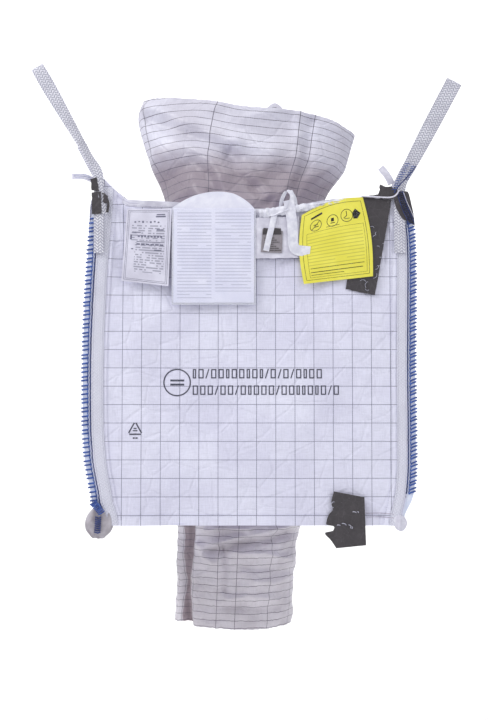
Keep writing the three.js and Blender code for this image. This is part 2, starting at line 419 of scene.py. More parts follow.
def srgb(r, g, b):
    """A colour given as screen values from 0 to 255, as Blender's linear values."""
    def linear(c):
        c /= 255
        return c / 12.92 if c <= 0.04045 else ((c + 0.055) / 1.055) ** 2.4
    return (linear(r), linear(g), linear(b))


class Nodes:
    """A material with short calls for the nodes that the bag's materials share. Colours are screen values."""

    def __init__(self, name, roughness=0.5, specular=0.5):
        self.material = bpy.data.materials.new(name)
        self.material.use_nodes = True
        self.tree = self.material.node_tree
        self.tree.nodes.clear()
        self.shader = self.new("BsdfPrincipled")
        self.new("OutputMaterial", {"Surface": self.shader.outputs[0]})
        self.shader.inputs["Roughness"].default_value = roughness
        self.shader.inputs["Specular IOR Level"].default_value = specular

    def new(self, kind, inputs=None, **settings):
        node = self.tree.nodes.new("ShaderNode" + kind)
        for name, value in settings.items():
            setattr(node, name, value)
        for key, value in (inputs or {}).items():
            self.link(value, node.inputs[key])
        return node

    def link(self, value, socket):
        if isinstance(value, bpy.types.NodeSocket):
            self.tree.links.new(value, socket)
        elif isinstance(value, tuple) and len(socket.default_value) == 4:
            socket.default_value = (*srgb(*value), 1.0)
        else:
            socket.default_value = value

    def math(self, operation, a, b=0.0, c=0.0):
        return self.new("Math", {0: a, 1: b, 2: c}, operation=operation).outputs[0]

    def uv(self):
        vector = self.new("UVMap", uv_map="cloth").outputs[0]
        split = self.new("SeparateXYZ", {0: vector})
        return vector, split.outputs[0], split.outputs[1]

    def place(self):
        return self.new("TexCoord").outputs["Object"]

    def noise(self, vector, scale, detail=3.0, roughness=0.55, stretch=None):
        if stretch:
            vector = self.new("Mapping", {"Scale": stretch, "Vector": vector}).outputs[0]
        settings = {"Scale": scale, "Detail": detail, "Roughness": roughness, "Vector": vector}
        return self.new("TexNoise", settings).outputs["Fac"]

    def cells(self, vector, scale):
        """Distance to the edges of random cells."""
        node = self.new("TexVoronoi", {"Scale": scale, "Vector": vector}, feature="DISTANCE_TO_EDGE")
        return node.outputs["Distance"]

    def ramp(self, value, low, high, to_low=0.0, to_high=1.0):
        inputs = dict(enumerate((value, low, high, to_low, to_high)))
        return self.new("MapRange", inputs, interpolation_type="SMOOTHSTEP").outputs[0]

    def blend(self, factor, a, b):
        return self.new("Mix", {0: factor, 6: a, 7: b}, data_type="RGBA").outputs[2]

    def line(self, distance, width, soft=0.0004):
        """1 within half a line's width, in metres, and 0 outside."""
        return self.ramp(distance, width / 2, width / 2 + soft, 1.0, 0.0)

    def stripes(self, coordinate, pitch, offset, width, soft=0.0004):
        """1 on thin lines a pitch apart, in metres, and 0 between them."""
        phase = self.math("FRACT", self.math("MULTIPLY_ADD", coordinate, 1 / pitch, 0.5 - offset / pitch))
        distance = self.math("MULTIPLY", self.math("ABSOLUTE", self.math("SUBTRACT", phase, 0.5)), pitch)
        return self.line(distance, width, soft)

    def between(self, value, low, high):
        """1 where value is between low and high."""
        above, below = self.math("GREATER_THAN", value, low), self.math("LESS_THAN", value, high)
        return self.math("MULTIPLY", above, below)

    def shifted(self, vector, value, scale, amount):
        """A value pushed about by noise."""
        swing = self.math("SUBTRACT", self.noise(vector, scale, 3.0), 0.5)
        return self.math("MULTIPLY_ADD", swing, amount, value)

    def bump(self, height, strength, distance, normal=None):
        inputs = {"Strength": strength, "Distance": distance, "Height": height}
        if normal is not None:
            inputs["Normal"] = normal
        return self.new("Bump", inputs).outputs[0]

    def end(self, color, normal, roughness=None, **fixed):
        self.link(color, self.shader.inputs["Base Color"])
        self.link(normal, self.shader.inputs["Normal"])
        if roughness is not None:
            self.link(roughness, self.shader.inputs["Roughness"])
        for name, value in fixed.items():
            self.shader.inputs[name.replace("_", " ")].default_value = value
        return self.material


def woven(m, u, v, tape=0.0026):
    """Height of a plain weave of flat tapes, each tape metres wide."""
    over = [m.math("ABSOLUTE", m.math("SINE", m.math("MULTIPLY", c, math.pi / tape))) for c in (u, v)]
    return m.math("MULTIPLY", *over)


def grid_fabric(name, light, shade, line, pitch_v, offset_v=0.0, line_width=0.0013, pitch_u=None,
                threads_u=(), painted_shade=None, band=None, wander=0.0):
    """Coated woven fabric with dark conductive threads both ways, in metres along the flat cloth.

    threads_u lists the places of single threads where they have no even pitch_u, tint is a darker colour
    painted as shade over the lower part of the cloth, with the heights where it begins and ends, band is a
    darker colour painted as shade on a strip deep in a fold, with its two sides, and wander is how far creases
    push the level threads about.
    """
    m = Nodes(name, roughness=0.42, specular=0.45)
    vector, u, v = m.uv()
    lines_u = m.stripes(u, pitch_u, 0.0, line_width) if pitch_u else 0.0
    for place in threads_u:
        gap = m.math("ABSOLUTE", m.math("SUBTRACT", u, place))
        lines_u = m.math("MAXIMUM", lines_u, m.line(gap, line_width))
    level = m.shifted(vector, v, 16.0, wander) if wander else v
    lines_v = m.stripes(level, pitch_v, offset_v, line_width)
    dotted = []
    for lines, run in ((lines_u, v), (lines_v, u)):
        dash = m.stripes(run, 0.0052, 0.0, 0.0036, 0.0008)
        dotted.append(m.math("MULTIPLY", lines, m.ramp(dash, 0, 1, 0.55, 1.0)))
    base = m.blend(m.ramp(m.noise(vector, 5.0, 4.0), 0.3, 0.7), shade, light)
    # Painted shade: below the given heights the cloth blends into a darker colour, for the shade near a spout's
    # base.
    if painted_shade:
        colour, low, high = painted_shade
        base = m.blend(m.ramp(m.shifted(vector, v, 6.0, 0.10), low, high), colour, base)
    # Painted shade: a darker strip of the cloth where it lies deep in a fold.
    if band:
        colour, low, high = band
        inside = m.math("MULTIPLY", m.ramp(u, low, low + 0.006), m.ramp(u, high - 0.003, high, 1.0, 0.0))
        base = m.blend(m.math("MULTIPLY", inside, 0.9), base, colour)
    tapes = [m.noise(vector, 1.0, 2.0, 0.6, stretch=stretch) for stretch in ((30, 420, 1), (420, 30, 1))]
    streak = m.ramp(m.math("ADD", *tapes), 0.75, 1.25, 0.94, 1.03)
    bright = m.new("VectorMath", {0: base, "Scale": streak}, operation="SCALE").outputs[0]
    normal = m.bump(m.ramp(m.cells(vector, 13.0), 0.0, 0.07), 0.30, 0.004)
    normal = m.bump(m.ramp(m.cells(vector, 34.0), 0.0, 0.12), 0.16, 0.0018, normal)
    normal = m.bump(m.noise(vector, 9.0, 4.0, 0.6), 0.55, 0.012, normal)
    normal = m.bump(m.noise(vector, 60.0, 3.0), 0.18, 0.0016, normal)
    normal = m.bump(woven(m, u, v), 0.25, 0.0004, normal)
    gloss = m.ramp(m.noise(vector, 22.0, 3.0), 0.3, 0.75, 0.36, 0.55)
    return m.end(m.blend(m.math("MAXIMUM", *dotted), bright, line), normal, gloss, Sheen_Weight=0.08)


def webbing_material(name, light, shade, row):
    """Herringbone webbing: rows of slanting yarns that change direction at the middle and the edges."""
    m = Nodes(name, roughness=0.72, specular=0.3)
    vector, u, v = m.uv()
    lean = m.math("PINGPONG", m.math("ADD", u, 0.1), 0.0075)
    yarn = m.math("SINE", m.math("MULTIPLY", m.math("ADD", v, lean), 2 * math.pi / 0.0082))
    fill = m.math("ABSOLUTE", m.math("SINE", m.math("MULTIPLY", u, math.pi / 0.0016)))
    height = m.math("MULTIPLY_ADD", yarn, 0.5, 0.5)
    # Painted shade: both edges of the strap blend halfway into the shade colour, as shadow along them.
    edge = m.ramp(m.math("ABSOLUTE", u), 0.0165, 0.0195)
    dirt = m.ramp(m.noise(vector, 25.0, 4.0), 0.35, 0.75)
    rows = m.stripes(u, 0.0075, 0.0, 0.0012, 0.0010)
    colour = m.blend(m.ramp(height, 0.1, 0.6), shade, light)
    for mask, share, tone in ((rows, 0.4, row), (dirt, 0.45, shade), (edge, 0.5, shade)):
        colour = m.blend(m.math("MULTIPLY", mask, share), colour, tone)
    normal = m.bump(fill, 0.3, 0.0003, m.bump(height, 0.7, 0.0009))
    return m.end(colour, normal, Sheen_Weight=0.15)


def tape_material(name, light, shade, roughness=0.7):
    """Thin plain-woven tape or binding."""
    m = Nodes(name, roughness=roughness, specular=0.3)
    vector, u, v = m.uv()
    colour = m.blend(m.ramp(m.noise(vector, 40.0, 4.0), 0.35, 0.7), shade, light)
    normal = m.bump(woven(m, u, v, 0.0017), 0.45, 0.0005)
    return m.end(colour, m.bump(m.noise(vector, 45.0, 3.0), 0.35, 0.003, normal), Sheen_Weight=0.1)


def thread_material(name, colour, dark):
    m = Nodes(name, roughness=0.6, specular=0.35)
    place = m.place()
    shade = m.blend(m.ramp(m.noise(place, 120.0, 2.0), 0.3, 0.7), dark, colour)
    return m.end(shade, m.bump(m.noise(place, 900.0, 3.0), 0.5, 0.0006), Sheen_Weight=0.2)


def film_material(name, colour, light, roughness):
    """Creased plastic film with pale stress marks along its creases."""
    m = Nodes(name, roughness=roughness, specular=0.5)
    place = m.place()
    creases = m.cells(place, 38.0)
    stress = m.ramp(creases, 0.0, 0.035, 1.0, 0.0)
    patches = m.ramp(m.noise(place, 30.0, 4.0), 0.45, 0.75)
    specks = m.ramp(m.noise(place, 260.0, 2.0), 0.7, 0.76)
    tone = colour
    for mask, share, mark in ((patches, 0.4, light), (stress, 0.05, (150, 146, 156)),
                              (specks, 0.35, (200, 198, 205))):
        tone = m.blend(m.math("MULTIPLY", mask, share), tone, mark)
    normal = m.bump(m.ramp(creases, 0.0, 0.12), 0.22, 0.003)
    normal = m.bump(m.noise(place, 90.0, 3.0), 0.5, 0.003, normal)
    gloss = m.ramp(m.noise(place, 50.0, 3.0), 0.3, 0.7, roughness - 0.08, roughness + 0.15)
    return m.end(tone, normal, gloss)


def rows_mask(m, u, v, pitch, word, share, cover):
    """Rows of short marks of uneven length, as dense small print looks from far away."""
    line, column = m.math("DIVIDE", v, pitch), m.math("DIVIDE", u, word)
    middle = m.math("ABSOLUTE", m.math("SUBTRACT", m.math("FRACT", line), 0.5))
    inside = m.ramp(middle, share / 2 - 0.08, share / 2 + 0.08, 1.0, 0.0)
    cell = m.new("CombineXYZ", {0: m.math("FLOOR", column), 1: m.math("FLOOR", line)}).outputs[0]
    chance = m.new("TexWhiteNoise", {"Vector": cell}, noise_dimensions="2D").outputs["Value"]
    return m.math("MULTIPLY", inside, m.math("LESS_THAN", chance, cover))


def printed_material(name, colour, shade, ink, blocks, pitch, word, strength, share=0.5, cover=0.62):
    """A label whose print is plain rows of marks inside blocks (u0, v0, u1, v1), in metres."""
    m = Nodes(name, roughness=0.45, specular=0.4)
    vector, u, v = m.uv()
    areas = [m.math("MULTIPLY", m.between(u, u0, u1), m.between(v, v0, v1)) for u0, v0, u1, v1 in blocks]
    area = m.math("MAXIMUM", *areas) if len(areas) > 1 else areas[0]
    marks = m.math("MULTIPLY", rows_mask(m, u, v, pitch, word, share, cover), area)
    base = m.blend(m.ramp(m.noise(vector, 14.0, 4.0), 0.35, 0.7), shade, colour)
    tone = m.blend(m.math("MULTIPLY", marks, strength), base, ink)
    normal = m.bump(m.noise(vector, 16.0, 3.0), 0.35, 0.005)
    return m.end(tone, m.bump(m.noise(vector, 140.0, 2.0), 0.1, 0.0005, normal))


def clear_film():
    m = Nodes("pouch_film", roughness=0.14, specular=0.6)
    place = m.place()
    haze = m.ramp(m.noise(place, 20.0, 3.0), 0.35, 0.7)
    tone = m.blend(haze, (226, 229, 243), (243, 244, 252))
    return m.end(tone, m.bump(m.noise(place, 14.0, 3.0), 0.5, 0.006), Alpha=0.10)


def ink_material(name, colour):
    m = Nodes(name, roughness=0.55, specular=0.3)
    place = m.place()
    worn = m.ramp(m.noise(place, 420.0, 3.0), 0.55, 0.75)
    tone = m.blend(m.math("MULTIPLY", worn, 0.55), colour, (196, 196, 212))
    return m.end(tone, m.bump(m.noise(place, 300.0, 2.0), 0.2, 0.0004))


panel_cloth = grid_fabric("panel_cloth", (229, 229, 246), (216, 215, 235), (122, 122, 144), 0.049,
                          pitch_u=0.0512, line_width=0.0012)
# The filling spout's cloth darkens near its base as painted shade where the spout meets the top.
spout_cloth_with_base_shade = grid_fabric("spout_cloth_with_base_shade", (216, 215, 229), (196, 193, 206), (92, 88, 102), 0.0252,
                          threads_u=(0.070, 0.254, 0.415, 0.418, 0.603, 0.796, 0.832, 0.985, 1.165),
                          painted_shade=((150, 139, 149), 0.15, 0.26), wander=0.006)
# The discharge spout's cloth has a darker strip as painted shade along its deep fold.
drain_cloth_with_fold_shade = grid_fabric("drain_cloth_with_fold_shade", (216, 211, 219), (190, 184, 192), (108, 101, 113), 0.0221,
                          offset_v=0.004, threads_u=(0.09, 0.21, 0.348, 0.384, 0.448, 0.536, 0.594, 0.702,
                                                     0.805, 0.94, 1.06),
                          band=((150, 135, 142), 0.386, 0.441), wander=0.012)
webbing = webbing_material("webbing", (232, 232, 240), (164, 163, 178), (146, 148, 172))
band_web = webbing_material("band_web", (226, 226, 239), (203, 203, 218), (196, 197, 214))
trim_tape = tape_material("trim_tape", (232, 231, 243), (205, 203, 218))
# A greyer copy of the white trim tape: painted shade on the folded left bottom corner.
painted_shade_ear_cloth = tape_material("painted_shade_ear_cloth", (196, 191, 199), (150, 144, 152))
seam_tape = tape_material("seam_tape", (234, 238, 252), (214, 222, 244))
tie_cloth = tape_material("tie_cloth", (240, 240, 248), (212, 212, 226), 0.6)
blue_thread = thread_material("blue_thread", (66, 98, 176), (42, 64, 130))
navy_thread = thread_material("navy_thread", (50, 66, 124), (34, 44, 92))
# Grey thread for the hem rows, one of which is painted shade of a fold.
hem_stitch_and_fold_shade_thread = thread_material("hem_stitch_and_fold_shade_thread", (186, 178, 194), (160, 152, 170))
white_thread = thread_material("white_thread", (206, 206, 222), (170, 170, 190))
black_film = film_material("black_film", (62, 58, 62), (82, 77, 82), 0.42)
grey_card = film_material("grey_card", (142, 136, 143), (160, 154, 160), 0.5)
ink = ink_material("ink", (72, 72, 88))
pale_ink = ink_material("pale_ink", (112, 112, 132))
label_ink = ink_material("label_ink", (38, 36, 30))
white_print = printed_material(
    "white_label", (226, 225, 240), (206, 204, 220), (140, 140, 158),
    [(0.030, 0.030, 0.112, 0.112), (0.018, 0.118, 0.112, 0.164)], 0.0068, 0.0046, 0.8)
yellow_print = printed_material(
    "yellow_label", (240, 233, 98), (230, 222, 82), (178, 172, 78), [(0.020, 0.052, 0.166, 0.142)],
    0.0098, 0.030, 0.62, share=0.24, cover=0.94)
paper_print = printed_material(
    "document_paper", (236, 236, 251), (226, 226, 244), (150, 150, 176),
    [(0.010, 0.012, 0.102, 0.246), (0.112, 0.030, 0.208, 0.246)], 0.0088, 0.022, 0.55, share=0.28, cover=0.93)
pouch_film = clear_film()
pouch_white = tape_material("pouch_white", (238, 238, 250), (226, 226, 242), 0.4)

# ---- Camera and tie tapes -----------------------------------------------------------------------

VIEW_X = -12
EYE_HEIGHT = 253
AIM_HEIGHT = 440
EYE_DISTANCE = 3200
TIE_FRONT = -434.6


def make_camera():
    data = bpy.data.cameras.new("camera")
    data.lens = 60
    data.sensor_width = 36
    data.clip_end = 50
    camera = bpy.data.objects.new("camera", data)
    bpy.context.scene.collection.objects.link(camera)
    camera.location = at(VIEW_X, -HALF - EYE_DISTANCE, EYE_HEIGHT)
    aim = at(VIEW_X, -HALF, AIM_HEIGHT) - camera.location
    camera.rotation_euler = aim.to_track_quat("-Z", "Y").to_euler()
    bpy.context.scene.camera = camera


def tie_tape(name, route, width):
    """A flat tape that hangs from the rim: the cord's own route, with a slight twist."""
    points = [(u, TIE_FRONT, v) for u, v in route]
    line = spline(points, 5)

    def across(i):
        run = line[min(i + 1, len(line) - 1)] - line[max(i - 1, 0)]
        return Vector((run.z, 0.10 * run.length * math.sin(i * 0.23), -run.x))

    tape = strap(name, line, across, lambda i: width, 1.0, tie_cloth, bow=2.0)
    length = sum((q - p).length for p, q in zip(line, line[1:])) / 1000
    on_body(tape, "root", "tape_fabric", name)
    [at(*p) for p in line]


make_camera()
tie_tape("tie_tape_narrow", [(73, 844), (66, 815), (60, 788), (53, 760), (47, 732)], 16)
tie_tape("tie_tape_wide", [(107, 869), (113, 838), (117, 805), (119, 773), (120, 750), (129, 735),
                           (165, 730)], 28)

# ---- Shape of the hanging body ------------------------------------------------------------------

left_edge = curve([(0, -382), (34, -387), (63, -397), (101, -403), (139, -411), (172, -416), (244, -422),
                   (330, -424), (470, -424), (600, -420), (733, -413), (840, -404), (930, -400)])
right_edge = curve([(0, 404), (30, 408), (60, 416), (100, 423), (170, 427), (420, 427), (600, 429), (700, 430),
                    (760, 429), (795, 426), (825, 418), (860, 408), (905, 402)])
EDGES = {LEFT: left_edge, RIGHT: right_edge}
# Height of each wall's top by its own across coordinate.
RIMS = {
    "front": curve([(-430, 918), (-406, 936), (-393, 931), (-362, 902), (-344, 885), (-331, 875), (-316, 872),
                    (-270, 869), (-214, 866), (-100, 857), (0, 847), (100, 852), (215, 872), (330, 880),
                    (395, 886), (430, 898)]),
    "back": curve([(-430, 906), (-390, 902), (-329, 876), (-180, 858), (0, 850), (180, 860), (330, 880),
                   (400, 892), (430, 900)]),
    "left": curve([(-425, 930), (-395, 903), (-330, 878), (-170, 858), (0, 850), (170, 858), (330, 878),
                   (425, 904)]),
    "right": curve([(-425, 900), (-330, 876), (-170, 858), (0, 850), (170, 858), (330, 878), (425, 902)]),
}
WALL_HEIGHT = 880
FABRIC = 0.7            # thickness of the wall fabric
OVERLAY_LIFT = 0.4      # gap under a strip that is sewn on a wall
GRID_A, GRID_Z = -337, 27       # where two conductive threads cross on the front
SIDE_SEEDS = {LEFT: 33.9, RIGHT: 47.2}


def corner_pull(across, down):
    """Folds that fan out from a lifted corner."""
    reach = math.hypot(across, down)
    angle = math.atan2(down, abs(across) + 1e-6)
    return 4.5 * math.cos(angle * 15) * math.exp(-reach / 240) * smooth(15, 110, reach)


def fabric_relief(a, z, seed, half):
    """Inward waves and creases of an empty wall."""
    soft = 11 * billow(a, z, 430, seed) + 6 * billow(a, z, 190, seed + 3.1)
    folds = 4.5 * ridge(a * 0.7 + z * 0.35, z * 0.45 - a * 0.2, 210, seed + 8.8)
    folds += 3.0 * ridge(a * 0.4 - z * 0.5, z * 0.5 + a * 0.8, 160, seed + 12.4)
    facets = 3.4 * crumple(a, z, 130, seed + 2.0) + 1.5 * crumple(a, z, 58, seed + 5.0)
    pull = sum(corner_pull(a - side * half, 905 - z) for side in (LEFT, RIGHT))
    hem = 2.5 * math.sin(a / 31.0 + seed) * math.exp(-z / 60)
    return 4 + soft - folds + 5 - facets + pull + hem


def edge_fade(a, low, high):
    return smooth(0, 60, min(a - low, high - a))


def face_inward(x, z, seed):
    """How far the front or back wall lies inside its flat plane."""
    fade = edge_fade(x, left_edge(z), right_edge(z))
    return fabric_relief(x, z, seed, 400) * (0.15 + 0.85 * fade)


def front_y(x, z):
    gather = 2.6 * math.sin(x / 3.6) * smooth(600, 800, z) * math.exp(-((abs(x) - 376) / 16) ** 2)
    inward = face_inward(x, z, 1.7) + gather
    limit = mix(-9, -2.5, smooth(430, 620, z))
    if inward < limit + 3:
        inward = limit + 3 * math.exp((inward - limit - 3) / 3)
    return -HALF + inward


def side_x(side, y, z):
    fade = edge_fade(y, -HALF, HALF)
    out = 9 * fade * math.sin(math.pi * min(z / WALL_HEIGHT, 1.0))
    return EDGES[side](z) + side * (out - fabric_relief(y, z, SIDE_SEEDS[side], 425) * fade * 0.8)


# Each wall gives a point from its own across coordinate, the height and a lift outwards.
WALLS = {
    "front": lambda a, z, lift=0.0: (a, front_y(a, z) - lift, z),
    "back": lambda a, z, lift=0.0: (a, HALF - max(face_inward(a, z, 21.3), -7) + lift, z),
    "left": lambda a, z, lift=0.0: (side_x(LEFT, a, z) - lift, a, z),
    "right": lambda a, z, lift=0.0: (side_x(RIGHT, a, z) + lift, a, z),
}
TURNED = ("back", "left")       # walls whose across coordinate runs right to left, seen from outside


def wall_span(wall, u, z):
    """The across coordinate at a share u of the wall's width, left to right seen from outside."""
    if wall in TURNED:
        u = 1 - u
    if wall in FACES:
        return mix(left_edge(z), right_edge(z), u)
    return mix(-HALF, HALF, u)


def cloth_uv(a, z):
    return (a - GRID_A) / 1000, (z - GRID_Z) / 1000


def overlay(name, wall, span, heights, thickness, material, cells, slot="trim_fabric", nodes=()):
    """A strip sewn on a wall: span(z) gives its two across limits, heights(u) its lower and upper edge."""
    def place(u, v):
        z = mix(*heights(u), v)
        a0, a1 = span(z)
        return (mix(a1, a0, u) if wall in TURNED else mix(a0, a1, u)), z

    def uv(u, v):
        a, z = place(u, v)
        return (mix(-0.02, 0.02, u), z / 1000) if slot == "webbing" else cloth_uv(a, z)

    lift = OVERLAY_LIFT + thickness
    obj = sheet(name, lambda u, v: WALLS[wall](*place(u, v), lift), cells, thickness, material, uv)
    on_wall(obj, slot, *nodes)


def make_walls():
    for wall in WALLS:
        def place(u, v):
            z = v * RIMS[wall](wall_span(wall, u, WALL_HEIGHT))
            return wall_span(wall, u, z), z

        name = f"{wall}_panel"
        cells = (112, 118) if wall == "front" else (70, 74)
        panel = sheet(name, lambda u, v: WALLS[wall](*place(u, v)), cells, FABRIC, panel_cloth,
                      lambda u, v: cloth_uv(*place(u, v)))
        on_wall(panel, "panel_fabric", name)


def perimeter(u, inset, left, right):
    """A point of a square outline, walked from the front left corner: x, y and the wall it is on."""
    side, t = divmod((u % 1.0) * 4, 1.0)
    near, far = -HALF + inset, HALF - inset
    if side == 0:
        return mix(left, right, t), near, "front"
    if side == 1:
        return right, mix(near, far, t), "right"
    if side == 2:
        return mix(right, left, t), far, "back"
    return left, mix(far, near, t), "left"


def inside_wall(x, y, wall, z, gap):
    """The x of a panel's edge: on a side wall, a gap inside the wall's own folds."""
    return side_x(SIDES[wall], y, z) - SIDES[wall] * gap if wall in SIDES else x


DRAIN_END = (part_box("discharge_spout")[0].z - HEM_Z) * 1000
FILL_X = -7
FILL_Z = 842
FILL_R = 218
DRAIN_X = -29
DRAIN_Z = 3
DRAIN_R = 184
FILL_ROUND = 1370       # cloth round the filling spout
DRAIN_ROUND = 1160      # cloth round the discharge spout


def level_panel(name, edge, turn, hole, sag, cells):
    """A panel from its edge(t) in to a hole (x, radius, z); sag(x, y, angle) is its depth half way."""
    hole_x, radius, hole_z = hole

    def surface(u, v):
        t = turn(u)
        x, y, z = edge(t)
        angle = 2 * math.pi * (t + 0.625)
        x, y = mix(x, hole_x + radius * math.cos(angle), v), mix(y, radius * math.sin(angle), v)
        return x, y, mix(z, hole_z, v) - math.sin(math.pi * v) * sag(x, y, angle)

    def uv(u, v):
        x, y, _ = surface(u, v)
        return (x - GRID_A) / 1000, (y + HALF) / 1000

    return sheet(name, surface, cells, FABRIC, panel_cloth, uv, wrap=True)


def make_top():
    def edge(t):
        x, y, wall = perimeter(t, 3, -400, 402)
        z = RIMS[wall](x if wall in FACES else y) - 7
        return inside_wall(x, y, wall, z, 2), y, z

    def sag(x, y, angle):
        return 16 + 4 * math.cos(angle * 21) + 6 * billow(x, y, 90, 3.3) + 5 * crumple(x, y, 80, 9.1)

    hole = (FILL_X, FILL_R + 1, FILL_Z)
    panel = level_panel("top_panel", edge, lambda u: u, hole, sag, (160, 22))
    on_wall(panel, "panel_fabric", "top_panel")


def make_bottom():
    def edge(t):
        x, y, wall = perimeter(t, 7, -381, 402)
        return inside_wall(x, y, wall, 12, 3), y, 5

    def sag(x, y, angle):
        return 7 + 4 * billow(x, y, 120, 6.3) + 3 * crumple(x, y, 90, 4.4)

    hole = (DRAIN_X, DRAIN_R + 1, DRAIN_Z)
    panel = level_panel("bottom_panel", edge, lambda u: 1 - u, hole, sag, (128, 16))
    on_body(panel, "bottom", "panel_fabric", "bottom_panel")


def seam_ring(name, x, radius, z, rise, body):
    """The folded seam allowance round a spout's base, above its panel (rise 1) or below it (rise -1)."""
    def surface(u, v):
        angle = 2 * math.pi * u * rise
        r = radius + mix(15, -2, v)
        wave = 1.6 * math.sin(angle * 9) + 1.2 * math.sin(angle * 23 + 1)
        return x + r * math.cos(angle), r * math.sin(angle), z + rise * (1.4 + wave * (1 - v))

    ring = sheet(name, surface, (96, 4), 1.2, trim_tape, lambda u, v: (u * 1.37, v * 0.018), wrap=True)
    on_body(ring, body, "trim_fabric", name)


# ---- Spouts -------------------------------------------------------------------------------------

mouth_height = curve([(-338, 1240), (-318, 1257), (-250, 1257), (-170, 1250), (-100, 1238), (-24, 1221),
                      (46, 1215), (120, 1211), (196, 1201), (248, 1188), (290, 1170), (332, 1148)])
fill_left = curve([(0, 224), (0.26, 248), (0.44, 277), (0.62, 308), (0.83, 330), (0.93, 332), (1, 316)])
fill_right = curve([(0, 222), (0.2, 228), (0.36, 248), (0.6, 296), (0.85, 318), (1, 330)])
drain_left = curve([(0, 173), (0.1, 175), (0.25, 173), (0.5, 177), (0.8, 178), (1, 181)])
drain_right = curve([(0, 170), (0.08, 174), (0.3, 174), (0.6, 177), (0.8, 180), (0.9, 190), (1, 190)])
# Long folds of each spout's front: depth, width and (x, height) points; below zero is a valley.
FILL_CREASES = (
    (13, 24, [(-318, 1235), (-190, 1180), (-60, 1110), (70, 1075)]),
    (-15, 22, [(-300, 1195), (-200, 1140), (-95, 1085), (20, 1020)]),
    (12, 26, [(-280, 1060), (-175, 1105), (-95, 1050), (-60, 930)]),
    (-13, 20, [(-250, 1000), (-165, 1040), (-110, 985), (-90, 880)]),
    (10, 18, [(-235, 920), (-160, 965), (-120, 900)]),
    (12, 16, [(-35, 1110), (-5, 1040), (25, 985), (60, 940)]),
    (-11, 16, [(-60, 1070), (-30, 1000), (10, 960), (70, 900)]),
    (9, 14, [(150, 1190), (145, 1040), (90, 930), (60, 870)]),
    (-9, 13, [(190, 1180), (172, 1040), (125, 930), (70, 870)]),
    (10, 20, [(310, 1090), (220, 1010), (120, 900)]),
    (-12, 18, [(300, 1040), (200, 960), (110, 880)]),
)
# The discharge spout's heights are above its free end.
DRAIN_CREASES = (
    (12, 13, [(-95, 262), (-20, 286), (60, 296), (130, 318)]),
    (-11, 11, [(-110, 238), (-20, 262), (60, 272), (120, 290)]),
    (8, 9, [(-120, 300), (-60, 312), (0, 306)]),
    (-7, 8, [(-90, 322), (-10, 322), (80, 330)]),
    (8, 9, [(-140, 255), (-120, 215), (-100, 205)]),
    (-7, 8, [(-75, 250), (-66, 215), (-68, 120)]),
    (7, 9, [(-45, 236), (50, 232), (130, 205)]),
    (-6, 9, [(-20, 190), (60, 182), (130, 168)]),
    (6, 10, [(20, 150), (70, 140), (120, 150)]),
    (6, 9, [(-60, 96), (0, 104), (90, 88)]),
    (-6, 10, [(-150, 60), (-40, 66), (90, 60)]),
)
DRAIN_CHANNEL = [(-170, 330), (-176, 220), (-188, 140), (-180, 0)]


def spout_folds(around, up, seed, height):
    """Slanting soft folds of a limp tube; around and up in millimetres, height from 0 to 1."""
    slant = around * 0.5 - up * 0.87
    run = around * 0.87 + up * 0.5
    deep = 15 * (ridge(slant, run * 0.28, 120, seed) - 0.45)
    cross = 7 * (ridge(slant * 0.4 + run * 0.5, slant * 0.9, 105, seed + 4.4) - 0.45)
    fine = 4.5 * crumple(around, up, 85, seed + 9.1) + 2.0 * crumple(around, up, 38, seed + 2.2)
    return (deep + cross) * smooth(0, 0.25, height) + fine * smooth(0, 0.12, height)


def pushed(x, y, c, s, wide, deep, fold, share):
    """A point of an oval tube moved outwards by a fold, with only a share of it sideways."""
    nx, ny = c / wide, s / deep
    size = math.hypot(nx, ny)
    return x + nx / size * fold * share, y + ny / size * fold


def fill_surface(u, v):
    angle = 2 * math.pi * (u + 0.25)
    c, s = math.cos(angle), math.sin(angle)
    wide = (fill_left if c < 0 else fill_right)(v)
    deep = mix(FILL_R, 84, smooth(0, 1.0, v) * 0.6 + v * 0.4)
    x = FILL_X + 4 * v + wide * c
    y = deep * s * (1 - 0.12 * v * abs(c))
    fold = spout_folds(u * FILL_ROUND, v * 400, 3.6, v) * (1 - 0.55 * abs(c) ** 3)
    top = mouth_height(x)
    if s > 0:
        top += 66 * s * math.exp(-((x - 85) / 46) ** 2)
    else:
        fold += creased(FILL_CREASES, x, mix(FILL_Z, top, v)) * min(1.0, -2.5 * s)
    fray = 2.2 * noise.noise(Vector((u * 240, 0.3, 5.5))) * smooth(0.93, 1, v)
    return (*pushed(x, y, c, s, wide, deep, fold, 0.5), mix(FILL_Z, top, v) + fray)


def make_filling_spout():
    def uv(u, v):
        x = -math.sin(2 * math.pi * u) * mix(225, 315, v)
        front = 0.25 < u < 0.75
        arch = 20 * math.exp(-((x + 150) / 75) ** 2) * (1 - v) ** 0.7 if front else 0.0
        spread = 16 * smooth(-100, -310, x) * smooth(0.2, 0.9, v) if front else 0.0
        kink = FILL_ROUND * (mix(0.416, 0.4568, v) - 0.44) * math.exp(-((u - 0.44) / 0.06) ** 2)
        return (u * FILL_ROUND - kink) / 1000, (v * 392 - arch + spread) / 1000

    spout = sheet("filling_spout", fill_surface, (224, 74), 0.8, spout_cloth_with_base_shade, uv, wrap=True)
    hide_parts("filling_spout")
    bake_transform(spout)


